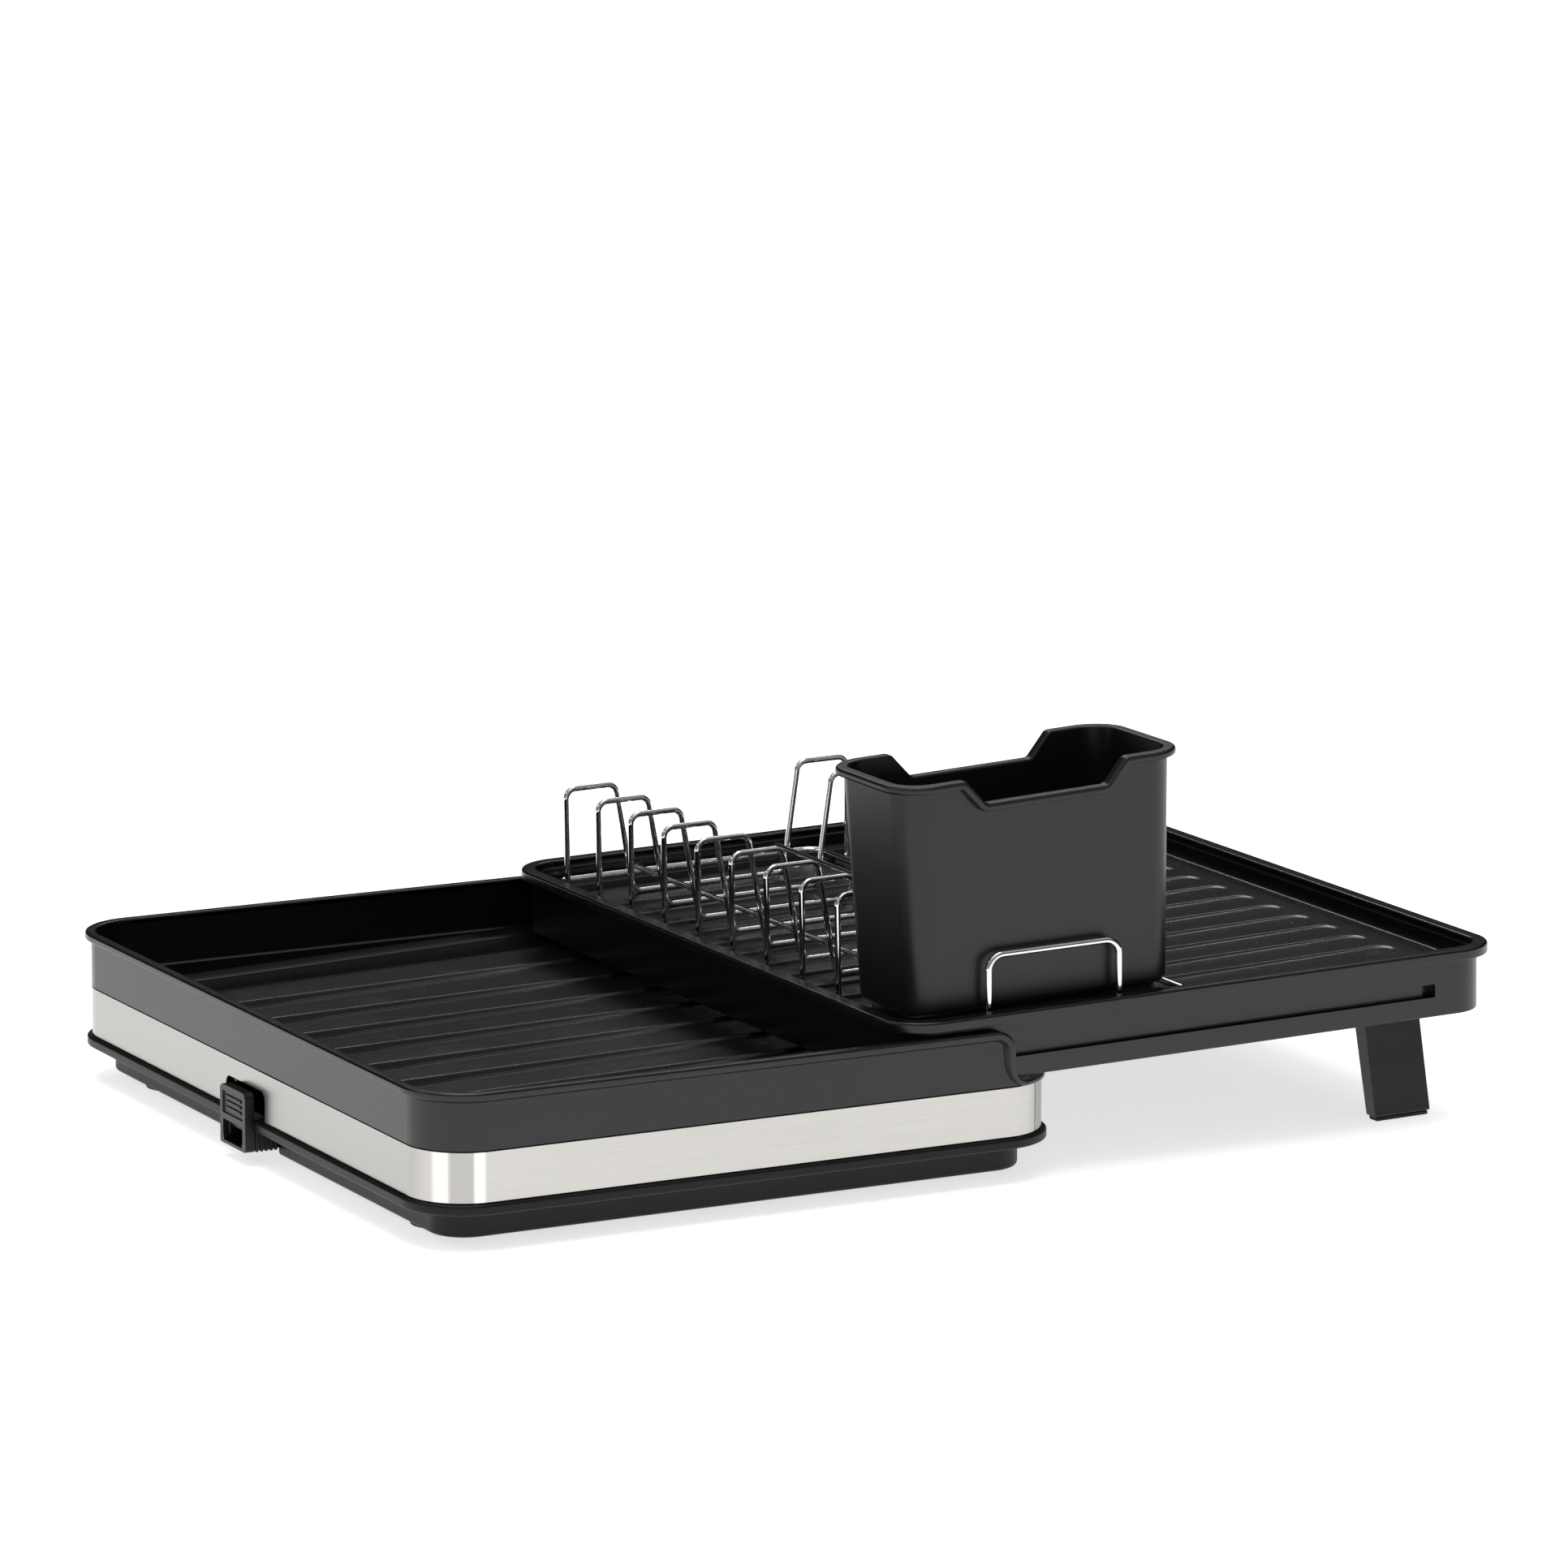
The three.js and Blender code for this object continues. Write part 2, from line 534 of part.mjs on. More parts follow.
/** A rail along Y that ties the inner legs of one row of dividers. */
function rackRail(side) {
  const r = RACK;
  const share = (r.railHeight + r.floor) / r.rise;
  const reach = r.topWidth + r.lean * (1 - share) + 2 * r.wire + GAP;
  const x = side < 0 ? trayX(r.left) + reach : trayX(r.right) - reach;
  const last = r.first + r.pitch * (r.count - 1);
  const ends = [r.first - r.railPast, last + r.railPast].map((y) => point(x, y, r.railHeight));
  return wire(ends, r.wire);
}

/** The loop at the front that keeps the cutlery holder in. */
function holderLoop() {
  const r = RACK;
  const foot = -r.frameHeight + r.frameWire + GAP;
  const corners = [
    point(trayX(r.loopLeft), r.front, foot), point(trayX(r.loopLeft), r.front, r.loopRise),
    point(trayX(r.loopRight), r.front, r.loopRise), point(trayX(r.loopRight), r.front, foot),
  ];
  return wire(bend(corners, r.loopBend, 4), r.loopWire);
}

/** A small cap under a corner of the frame, which keeps the wire off the tray. */
function rackCap(x, y) {
  const depth = RACK.floor + RACK.wire - RACK.frameHeight - RACK.frameWire - GAP;
  const cap = new THREE.CylinderGeometry(RACK.capRadius, RACK.capRadius, depth, 12).rotateX(Math.PI / 2);
  return cap.translate(x, y, -RACK.frameHeight - RACK.frameWire - GAP - depth / 2);
}

/** The whole plate rack: frame, dividers, rails, loop and caps. */
function rackGroup() {
  const group = new THREE.Group();
  group.add(named('rack_frame', rackFrame(), chrome));
  for (let k = 0; k < RACK.count; k += 1) {
    const y = RACK.first + RACK.pitch * (RACK.count - 1 - k);
    group.add(named(`rack_divider_${k + 1}`, rackDivider(y), chrome));
  }
  group.add(named('rack_rail_left', rackRail(-1), chrome), named('rack_rail_right', rackRail(1), chrome));
  group.add(named('holder_loop', holderLoop(), chrome));
  const inner = RACK.wire + RACK.frameWire + GAP;
  for (const [word, y] of [['front', RACK.front + RACK.capFront], ['rear', RACK.back - RACK.capRear]]) {
    group.add(named(`rack_cap_${word}_left`, rackCap(trayX(RACK.left) + inner, y), blackRubber));
    group.add(named(`rack_cap_${word}_right`, rackCap(trayX(RACK.right) - inner, y), blackRubber));
  }
  return group;
}

// ---------------------------------------------------------------- cutlery holder
/** A drafted box with rounded corners, widest at z = 0 and running down by depth. */
function draftedBox(length, depth, corner, height, draft) {
  const shrink = Math.tan(THREE.MathUtils.degToRad(draft)) * height;
  const outline = roundedRectangle(-length / 2, length / 2, -depth / 2, depth / 2, corner);
  const body = new THREE.ExtrudeGeometry(outline, { depth: height, bevelEnabled: false, curveSegments: ARC });
  body.translate(0, 0, -height);
  const place = body.attributes.position;
  for (let i = 0; i < place.count; i += 1) {
    if (place.getZ(i) < -height / 2) {
      place.setX(i, place.getX(i) * (1 - (2 * shrink) / length));
      place.setY(i, place.getY(i) * (1 - (2 * shrink) / depth));
    }
  }
  return solid(body);
}

/** The cutlery holder: a deep drafted cup with a lip, a dip in both long sides and drain holes. */
function cutleryHolder() {
  const h = HOLDER;
  const [length, depth] = [h.length - 2 * h.lip, h.depth - 2 * h.lip];
  const corner = h.corner - h.lip;
  const shrink = Math.tan(THREE.MathUtils.degToRad(h.draft)) * h.height + h.footInset;
  const foot = (inset, top, bottom) => prism(roundedRectangle(-length / 2 + inset, length / 2 - inset,
    -depth / 2 + inset, depth / 2 - inset, corner - 5), top, bottom);
  const outer = join(draftedBox(length, depth, corner, h.height, h.draft),
    foot(shrink, -h.height - h.footDrop, -h.height + 1));
  const inner = join(
    draftedBox(length - 2 * h.wall, depth - 2 * h.wall, corner - h.wall, h.height - h.wall, h.draft),
    foot(shrink + h.wall, -h.height - h.footDrop + h.wall, -h.height + h.wall + 1),
  );
  const rim = prism(roundedRectangle(-h.length / 2, h.length / 2, -h.depth / 2, h.depth / 2, h.corner),
    -h.lipHeight, 0);

  // the rim follows a dip in both long sides
  const dip = new THREE.Shape();
  dip.moveTo(-h.dipTop / 2, 5);
  dip.lineTo(-h.dipTop / 2, 0);
  dip.lineTo(-h.dipWidth / 2, -h.dipDepth);
  dip.lineTo(h.dipWidth / 2, -h.dipDepth);
  dip.lineTo(h.dipTop / 2, 0);
  dip.lineTo(h.dipTop / 2, 5);
  const notch = sideways(dip, -h.depth, h.depth);
  const lipShape = new THREE.Shape();
  const drop = h.dipDepth + h.lipHeight;
  lipShape.moveTo(-h.dipTop / 2 - h.dipLip, 0);
  lipShape.lineTo(-h.dipTop / 2 - h.dipLip, -h.lipHeight);
  lipShape.lineTo(-h.dipWidth / 2 - h.dipLip, -drop);
  lipShape.lineTo(h.dipWidth / 2 + h.dipLip, -drop);
  lipShape.lineTo(h.dipTop / 2 + h.dipLip, -h.lipHeight);
  lipShape.lineTo(h.dipTop / 2 + h.dipLip, 0);
  const lipBand = sideways(lipShape, -h.depth / 2, h.depth / 2);
  const holes = [];
  for (const x of h.drainX) {
    for (const y of h.drainY) {
      holes.push(solid(uprightBar(x, y, h.drainHole, -h.height - h.footDrop - 5, -h.height, 10)));
    }
  }
  return geometryOf(cut(join(outer, rim, lipBand), inner, notch, ...holes));
}

// ---------------------------------------------------------------- assembly
const lower = new THREE.Group();
lower.add(
  named('lower_basin', lowerBasin(), satinBlack),
  named('steel_band', steelBand(), brushedSteel),
  named('base_pan', basePan(), satinBlack),
  named('drain_spout', drainSpout(), satinBlack),
  named('guide_pin_front', guidePin(false), satinBlack),
  named('guide_pin_rear', guidePin(true), satinBlack),
);
['front_left', 'front_right', 'rear_left', 'rear_right'].forEach((word, k) => {
  lower.add(named(`foot_${word}`, rubberFoot(footPlaces()[k]), blackRubber));
});

const tray = new THREE.Group();
tray.position.set(TRAY.left, 0, TRAY.rimLeft);
tray.rotation.y = -TRAY.slope;
tray.add(
  named('upper_tray', upperTray(), trayBlack),
  legGroup('front', legRows()[0], 1),
  legGroup('rear', legRows()[1], -1),
  rackGroup(),
);

const holder = new THREE.Group();
holder.position.set(HOLDER.x, HOLDER.y, HOLDER.rim);
holder.rotation.y = -HOLDER.tilt;
holder.add(named('cutlery_holder', cutleryHolder(), satinBlack));

const dishRack = new THREE.Group();
const assembly = new THREE.Group();
assembly.position.copy(CENTRE).negate();
assembly.add(lower, tray, holder);
dishRack.add(assembly);

export default dishRack;
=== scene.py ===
"""Extendable dish drying rack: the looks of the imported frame.

The rack is a ribbed drip basin with a steel band, a drainer tray that slides out of it on two
folding legs, a chrome plate rack and a cutlery holder. Every class below is one sub-assembly. Sizes
are in millimetres, in one of two working frames: the counter frame, whose corner is the basin's
front left corner on the counter, and the tray frame, which starts at the left end of the tray's rim
and follows the tray's slope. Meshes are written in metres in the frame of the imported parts.
"""

from __future__ import annotations

import logging
import math
from collections.abc import Callable, Sequence
from dataclasses import dataclass
from enum import Enum

import bmesh
import bpy
from mathutils import Matrix, Vector

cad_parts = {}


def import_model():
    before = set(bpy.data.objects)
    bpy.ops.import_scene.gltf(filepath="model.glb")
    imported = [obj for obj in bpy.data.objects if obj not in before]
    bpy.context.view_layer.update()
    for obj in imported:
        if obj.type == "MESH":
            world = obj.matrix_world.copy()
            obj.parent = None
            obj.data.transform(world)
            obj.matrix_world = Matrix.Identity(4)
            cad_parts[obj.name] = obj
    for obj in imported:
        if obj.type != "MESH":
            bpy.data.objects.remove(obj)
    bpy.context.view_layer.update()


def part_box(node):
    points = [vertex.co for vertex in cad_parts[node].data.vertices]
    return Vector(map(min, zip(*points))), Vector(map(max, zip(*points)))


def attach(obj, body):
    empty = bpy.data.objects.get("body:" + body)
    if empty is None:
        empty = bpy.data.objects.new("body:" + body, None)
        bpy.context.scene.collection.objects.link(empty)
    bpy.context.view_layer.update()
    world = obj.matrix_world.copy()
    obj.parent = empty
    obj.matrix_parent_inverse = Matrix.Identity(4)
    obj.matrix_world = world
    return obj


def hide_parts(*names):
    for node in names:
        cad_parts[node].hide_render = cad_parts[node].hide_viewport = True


LOG = logging.getLogger("dish_rack")
MM = 0.001

Spot = tuple[float, float]
Corner = tuple[float, float, float]
Face = tuple[int, ...]


class Body(Enum):
    """The bodies that pieces ride on."""

    BASE = "base"
    SPOUT = "spout"
    PINS = "guide_pins"
    TRAY = "tray"
    FRONT_LEG = "front_leg"
    REAR_LEG = "rear_leg"
    RACK = "wire_rack"
    HOLDER = "holder"


# ------------------------------------------------------------------------------ shader graphs


class Signal:
    """A shader socket that takes part in arithmetic."""

    def __init__(self, graph: Graph, socket: bpy.types.NodeSocket) -> None:
        """Wrap a socket of a graph."""
        self.graph = graph
        self.socket = socket

    def __add__(self, other: Signal | float) -> Signal:
        """Return the sum."""
        return self.graph.maths("ADD", self, other)

    def __radd__(self, other: float) -> Signal:
        """Return the sum with a number on the left."""
        return self.graph.maths("ADD", other, self)

    def __sub__(self, other: Signal | float) -> Signal:
        """Return the difference."""
        return self.graph.maths("SUBTRACT", self, other)

    def __rsub__(self, other: float) -> Signal:
        """Return the difference from a number."""
        return self.graph.maths("SUBTRACT", other, self)

    def __mul__(self, other: Signal | float) -> Signal:
        """Return the product."""
        return self.graph.maths("MULTIPLY", self, other)

    def __rmul__(self, other: float) -> Signal:
        """Return the product with a number on the left."""
        return self.graph.maths("MULTIPLY", other, self)


class Graph:
    """The node tree of a material or of the world."""

    def __init__(self, tree: bpy.types.NodeTree) -> None:
        """Empty the tree and keep it."""
        tree.nodes.clear()
        self.tree = tree

    def node(
        self,
        kind: str,
        settings: dict[str, object] | None = None,
        sockets: dict[str | int, object] | None = None,
    ) -> bpy.types.Node:
        """Add a node.

        Args:
            kind: The node's type name.
            settings: Attributes of the node, set before its sockets.
            sockets: Values, signals or output sockets for its inputs, by name or place.

        Returns:
            The new node.
        """
        made = self.tree.nodes.new(kind)
        for key, value in (settings or {}).items():
            setattr(made, key, value)
        for key, value in (sockets or {}).items():
            source = value.socket if isinstance(value, Signal) else value
            if isinstance(source, bpy.types.NodeSocket):
                self.tree.links.new(source, made.inputs[key])
            else:
                made.inputs[key].default_value = source
        return made

    def signal(self, node: bpy.types.Node, output: str | int = 0) -> Signal:
        """Return one of a node's outputs as a signal."""
        return Signal(self, node.outputs[output])

    def maths(self, operation: str, *values: Signal | float) -> Signal:
        """Return the result of a Math node on the given values."""
        places = dict(enumerate(values))
        return self.signal(self.node("ShaderNodeMath", {"operation": operation}, places))

    def place(self) -> bpy.types.NodeSocket:
        """Return the position on the object, in metres."""
        return self.node("ShaderNodeTexCoord").outputs["Object"]

    def noise(self, scale: Sequence[float], detail: float = 3.0, roughness: float = 0.5) -> Signal:
        """Return a noise between 0 and 1.

        Args:
            scale: Cells per metre along X, Y and Z.
            detail: Octaves of detail.
            roughness: Strength of the finer octaves.
        """
        stretched = self.node("ShaderNodeMapping", None, {"Vector": self.place(), "Scale": tuple(scale)})
        facts = {"Vector": stretched.outputs[0], "Scale": 1.0, "Detail": detail, "Roughness": roughness}
        return self.signal(self.node("ShaderNodeTexNoise", None, facts), "Fac")

    def band(self, value: Signal, low: float, high: float, start: float = 0.0, end: float = 1.0) -> Signal:
        """Return start below low, end above high, and a smooth run between them."""
        facts = {"Value": value, "From Min": low, "From Max": high, "To Min": start, "To Max": end}
        settings = {"interpolation_type": "SMOOTHSTEP"}
        return self.signal(self.node("ShaderNodeMapRange", settings, facts), "Result")

    def blend(
        self,
        share: Signal,
        first: Sequence[float] | bpy.types.NodeSocket,
        second: Sequence[float] | bpy.types.NodeSocket,
    ) -> bpy.types.NodeSocket:
        """Return a colour that runs from the first to the second as share goes from 0 to 1."""
        ends = {
            place: end if isinstance(end, bpy.types.NodeSocket) else (*end, 1.0)
            for place, end in ((6, first), (7, second))
        }
        return self.node("ShaderNodeMix", {"data_type": "RGBA"}, {0: share, **ends}).outputs[2]

    def bump(self, height: Signal, depth_mm: float) -> bpy.types.NodeSocket:
        """Return the normal of a surface that rises by depth_mm where height is 1."""
        facts = {"Height": height, "Distance": depth_mm * MM, "Strength": 1.0}
        return self.node("ShaderNodeBump", None, facts).outputs["Normal"]


@dataclass(frozen=True)
class Finish:
    """A surface finish that can be made into a material."""

    name: str
    slot: str

    def sockets(self, graph: Graph) -> dict[str | int, object]:
        """Return the values of the shader's sockets."""
        raise NotImplementedError

    def material(self) -> bpy.types.Material:
        """Return the finish's material, made on first use."""
        known = bpy.data.materials.get(self.name)
        if known:
            return known
        made = bpy.data.materials.new(self.name)
        made.use_nodes = True
        graph = Graph(made.node_tree)
        shader = graph.node("ShaderNodeBsdfPrincipled", None, self.sockets(graph))
        graph.node("ShaderNodeOutputMaterial", None, {"Surface": shader.outputs[0]})
        return made


@dataclass(frozen=True)
class MouldedPlastic(Finish):
    """Satin black moulded plastic with a fine spark-eroded grain, faint flow marks and dust."""

    tone: tuple[float, float, float] = (0.0032, 0.0035, 0.004)
    roughness: float = 0.27
    grain_mm: float = 0.0008
    shine: float = 0.5

    def sockets(self, graph: Graph) -> dict[str | int, object]:
        """Return the values of the shader's sockets."""
        cloud = graph.noise((9, 9, 30), 4, 0.55)
        grain = graph.noise((2600, 2600, 2600), 2)
        flow = graph.noise((18, 60, 160), 3, 0.6)
        specks = graph.node(
            "ShaderNodeTexVoronoi", None, {"Vector": graph.place(), "Scale": 95.0, "Randomness": 1.0}
        )
        dust = graph.band(graph.signal(specks, "Distance"), 0.02, 0.035, 1.0, 0.0)
        dust = dust * graph.band(graph.noise((40, 40, 40), 1), 0.56, 0.66)
        dark = tuple(0.86 * part for part in self.tone)
        pale = tuple(1.2 * part + 0.001 for part in self.tone)
        plain = graph.blend(graph.band(cloud, 0.3, 0.7), dark, pale)
        smudge = graph.band(graph.noise((34, 34, 34), 4, 0.65), 0.55, 0.72)
        sheen = self.roughness + (cloud - 0.5) * 0.05 + (flow - 0.5) * 0.03 + dust * 0.2 + smudge * 0.03
        height = grain * self.grain_mm + flow * 0.0012 + cloud * 0.003
        return {
            "Base Color": graph.blend(dust * 0.3, plain, (0.2, 0.2, 0.2)),
            "Roughness": sheen,
            "Specular IOR Level": self.shine,
            "Normal": graph.bump(height, 1.0),
        }


@dataclass(frozen=True)
class BrushedSteel(Finish):
    """Stainless steel brushed along its length, with painted highlight and painted shade streaks round its
    corners and darker faces painted into its colour.
    """

    tone: tuple[float, float, float] = (0.53, 0.517, 0.492)

    def sockets(self, graph: Graph) -> dict[str | int, object]:
        """Return the values of the shader's sockets."""
        hairs = graph.noise((16, 16, 7200), 3, 0.6)
        lines = graph.noise((40, 40, 2400), 2, 0.6)
        cloud = graph.noise((7, 7, 20), 2)
        dark = tuple(0.95 * part for part in self.tone)
        pale = tuple(1.05 * part for part in self.tone)
        steel = graph.blend(graph.band(hairs * 0.6 + lines * 0.4, 0.3, 0.7), dark, pale)
        # Painted reflection: light and dark streaks and darker faces are painted into the steel's colour from
        # its normal.
        bright, painted_shade = self.painted_reflection_streaks(graph)
        # Painted highlight: the bright streaks lighten the steel.
        painted_highlit_steel = graph.blend(bright, steel, (0.86, 0.84, 0.8))
        return {
            # Painted shade: the dark streaks and the darker faces darken the steel.
            "Base Color": graph.blend(painted_shade, painted_highlit_steel, (0.33, 0.32, 0.3)),
            "Metallic": 1.0,
            "Roughness": 0.24 + (hairs - 0.5) * 0.12 + (cloud - 0.5) * 0.06,
            "Anisotropic": 0.5,
            "Normal": graph.bump(hairs * 0.7 + lines * 0.3, 0.003),
        }

    def painted_reflection_streaks(self, graph: Graph) -> tuple[Signal, Signal]:
        """Return a painted highlight mask and a painted shade mask, both taken from the surface's normal:
        bright and dark reflection streaks round the left corners, and darker left and right faces.
        """
        way = graph.node("ShaderNodeTexCoord").outputs["Normal"]
        parts = graph.node("ShaderNodeSeparateXYZ", None, {0: way})
        across = graph.signal(parts, 0)
        left = graph.band(across, -0.03, 0.0, 1.0, 0.0)
        turn = graph.maths("ARCTAN2", graph.maths("ABSOLUTE", graph.signal(parts, 1)),
                           graph.maths("ABSOLUTE", across))
        # Painted highlights: two bright reflection streaks round each left corner.
        first = left * graph.band(turn, 0.56, 0.66) * graph.band(turn, 0.84, 0.9, 1.0, 0.0)
        second = left * graph.band(turn, 1.27, 1.31) * graph.band(turn, 1.42, 1.5, 1.0, 0.0)
        # Painted shade: darker reflection streaks round the left corners.
        early = left * graph.band(turn, 0.02, 0.2) * graph.band(turn, 0.5, 0.6, 1.0, 0.0)
        middle = left * graph.band(turn, 0.87, 0.93) * graph.band(turn, 1.24, 1.29, 1.0, 0.0)
        # Painted shade: the right face and its corners are darker, and so is the left face.
        right = (1.0 - left) * graph.band(turn, 0.75, 1.05, 1.0, 0.0) * 0.5
        side = left * graph.band(turn, 0.0, 0.6, 1.0, 0.0) * 0.6 + right
        return first * 0.75 + second * 0.95, early * 0.12 + middle * 0.5 + side


@dataclass(frozen=True)
class PolishedChrome(Finish):
    """Bright chrome plating over drawn wire."""

    tone: tuple[float, float, float] = (0.8, 0.81, 0.83)
    roughness: float = 0.05

    def sockets(self, graph: Graph) -> dict[str | int, object]:
        """Return the values of the shader's sockets."""
        cloud = graph.noise((70, 70, 70), 3, 0.55)
        drawn = graph.noise((600, 600, 600), 2)
        dark = tuple(0.9 * part for part in self.tone)
        return {
            "Base Color": graph.blend(graph.band(cloud, 0.3, 0.7), dark, self.tone),
            "Metallic": 1.0,
            "Roughness": self.roughness + graph.band(cloud, 0.45, 0.75) * 0.06 + drawn * 0.02,
            "Normal": graph.bump(cloud * 0.8 + drawn * 0.2, 0.012),
        }


@dataclass(frozen=True)
class MattRubber(Finish):
    """Matt black rubber with a dusty bloom."""

    tone: tuple[float, float, float] = (0.014, 0.014, 0.014)

    def sockets(self, graph: Graph) -> dict[str | int, object]:
        """Return the values of the shader's sockets."""
        bloom = graph.noise((120, 120, 120), 4, 0.6)
        grain = graph.noise((3500, 3500, 3500), 2)
        pale = tuple(2.0 * part for part in self.tone)
        return {
            "Base Color": graph.blend(graph.band(bloom, 0.4, 0.75), self.tone, pale),
            "Roughness": 0.72 + (bloom - 0.5) * 0.2,
            "Normal": graph.bump(grain, 0.02),
        }


BASIN_PLASTIC = MouldedPlastic("basin_plastic", "basin")
BASE_PLASTIC = MouldedPlastic("base_plastic", "base", (0.003, 0.0031, 0.0034), 0.42, shine=0.28)
TRAY_PLASTIC = MouldedPlastic("tray_plastic", "tray", (0.003, 0.0032, 0.0036), 0.26)
SPOUT_PLASTIC = MouldedPlastic("spout_plastic", "spout", (0.004, 0.004, 0.0043), 0.4)
LEG_PLASTIC = MouldedPlastic("leg_plastic", "leg", (0.02, 0.02, 0.021), 0.4)
PIN_PLASTIC = MouldedPlastic("pin_plastic", "pins", (0.006, 0.006, 0.0062), 0.38)
HOLDER_PLASTIC = MouldedPlastic("holder_plastic", "holder", (0.0042, 0.0044, 0.0049), 0.36)
BAND_STEEL = BrushedSteel("band_steel", "band")
AXLE_STEEL = BrushedSteel("axle_steel", "axle", (0.6, 0.6, 0.61))
WIRE_CHROME = PolishedChrome("wire_chrome", "wire")
FOOT_RUBBER = MattRubber("foot_rubber", "foot")
PAD_RUBBER = MattRubber("pad_rubber", "pad")
CAP_RUBBER = MattRubber("cap_rubber", "cap")


# ------------------------------------------------------------------------------ mesh helpers


def rounded(corners: Sequence[Corner], steps: int = 4) -> list[Spot]:
    """Round the corners of a closed outline.

    Args:
        corners: Each corner's x, y and radius, in order.
        steps: Straight pieces in each rounded corner.

    Returns:
        The points of the rounded outline.
    """
    spots: list[Spot] = []
    for k, (x, y, radius) in enumerate(corners):
        here = Vector((x, y))
        if radius <= 0:
            spots.append((x, y))
            continue
        before = Vector(corners[k - 1][:2]) - here
        after = Vector(corners[(k + 1) % len(corners)][:2]) - here
        half = before.angle(after) / 2
        reach = radius / math.tan(half)
        start = before.normalized() * reach
        end = after.normalized() * reach
        middle = (before.normalized() + after.normalized()).normalized() * (radius / math.sin(half))
        turn = (start - middle).angle(end - middle)
        for i in range(steps + 1):
            a = turn * i / steps
            share = (math.sin(turn - a) / math.sin(turn), math.sin(a) / math.sin(turn))
            spot = here + middle + (start - middle) * share[0] + (end - middle) * share[1]
            spots.append((spot.x, spot.y))
    return spots


@dataclass(frozen=True)
class Station:
    """A place on a plan's outline, and which way is out."""

    x: float
    y: float
    out: Vector


@dataclass(frozen=True)
class Plan:
    """A rounded rectangle seen from above."""

    x0: float
    x1: float
    y0: float
    y1: float
    radius: float

    @property
    def middle(self) -> float:
        """Return the y of the line that halves the plan."""
        return (self.y0 + self.y1) / 2

    @property
    def half_length(self) -> float:
        """Return half the outline's length."""
        straight = (self.x1 - self.x0) + (self.y1 - self.y0) - 4 * self.radius
        return straight + math.pi * self.radius

    def station(self, along: float) -> Station:
        """Return the place at a distance along the front half, from the left side's middle."""
        r = self.radius
        side = (self.y1 - self.y0) / 2 - r
        arc = r * math.pi / 2
        front = self.x1 - self.x0 - 2 * r
        if along <= side:
            return Station(self.x0, self.middle - along, Vector((-1, 0)))
        if along <= side + arc:
            turn = (along - side) / r
            out = Vector((-math.cos(turn), -math.sin(turn)))
            return Station(self.x0 + r + r * out.x, self.y0 + r + r * out.y, out)
        if along <= side + arc + front:
            return Station(self.x0 + r + along - side - arc, self.y0, Vector((0, -1)))
        if along <= side + 2 * arc + front:
            turn = (along - side - arc - front) / r
            out = Vector((math.sin(turn), -math.cos(turn)))
            return Station(self.x1 - r + r * out.x, self.y0 + r + r * out.y, out)
        climb = along - side - 2 * arc - front
        return Station(self.x1, self.y0 + r + climb, Vector((1, 0)))

    def knots(self, arc_steps: int = 12, straight: float = 40.0) -> list[float]:
        """Return the distances along the front half at which a sweep is drawn."""
        r = self.radius
        side = (self.y1 - self.y0) / 2 - r
        arc = r * math.pi / 2
        front = self.x1 - self.x0 - 2 * r
        stops = [0.0]
        for length, is_arc in ((side, False), (arc, True), (front, False), (arc, True), (side, False)):
            count = arc_steps if is_arc else max(1, round(length / straight))
            start = stops[-1]
            stops.extend(start + length * (i + 1) / count for i in range(count))
        return stops

    def outline(self, arc_steps: int = 12, straight: float = 40.0) -> list[Station]:
        """Return the whole outline, anticlockwise from the left side's middle."""
        front = [self.station(along) for along in self.knots(arc_steps, straight)]
        rear = [mirrored(station, self.middle) for station in reversed(front[1:-1])]
        return front + rear

    def signed(self, x: float, y: float) -> float:
        """Return how far a point is outside the outline, negative inside."""
        dx = abs(x - (self.x0 + self.x1) / 2) - (self.x1 - self.x0) / 2 + self.radius
        dy = abs(y - self.middle) - (self.y1 - self.y0) / 2 + self.radius
        return math.hypot(max(dx, 0), max(dy, 0)) + min(max(dx, dy), 0) - self.radius

    def clamped(self, x: float, y: float) -> Spot:
        """Return the point itself, or the nearest one on the outline if it is outside."""
        r = self.radius
        cx = min(max(x, self.x0 + r), self.x1 - r)
        cy = min(max(y, self.y0 + r), self.y1 - r)
        reach = math.hypot(x - cx, y - cy)
        if reach <= r:
            return x, y
        return cx + (x - cx) * r / reach, cy + (y - cy) * r / reach

    def inset(self, by: float) -> Plan:
        """Return the plan drawn in by a distance on every side."""
        return Plan(self.x0 + by, self.x1 - by, self.y0 + by, self.y1 - by, self.radius - by)


def mirrored(station: Station, middle: float) -> Station:
    """Return a station's mirror image across the line y = middle."""
    return Station(station.x, 2 * middle - station.y, Vector((station.out.x, -station.out.y)))


def seen_from_above(a: float, b: float, depth: float) -> Vector:
    """Place a spot of an outline drawn from above, with its depth along Z."""
    return Vector((a, b, depth))


def seen_from_front(a: float, b: float, depth: float) -> Vector:
    """Place a spot of an outline drawn from the front, with its depth along Y."""
    return Vector((a, depth, b))


def seen_from_left(a: float, b: float, depth: float) -> Vector:
    """Place a spot of an outline drawn from the side, with its depth along X."""
    return Vector((depth, a, b))


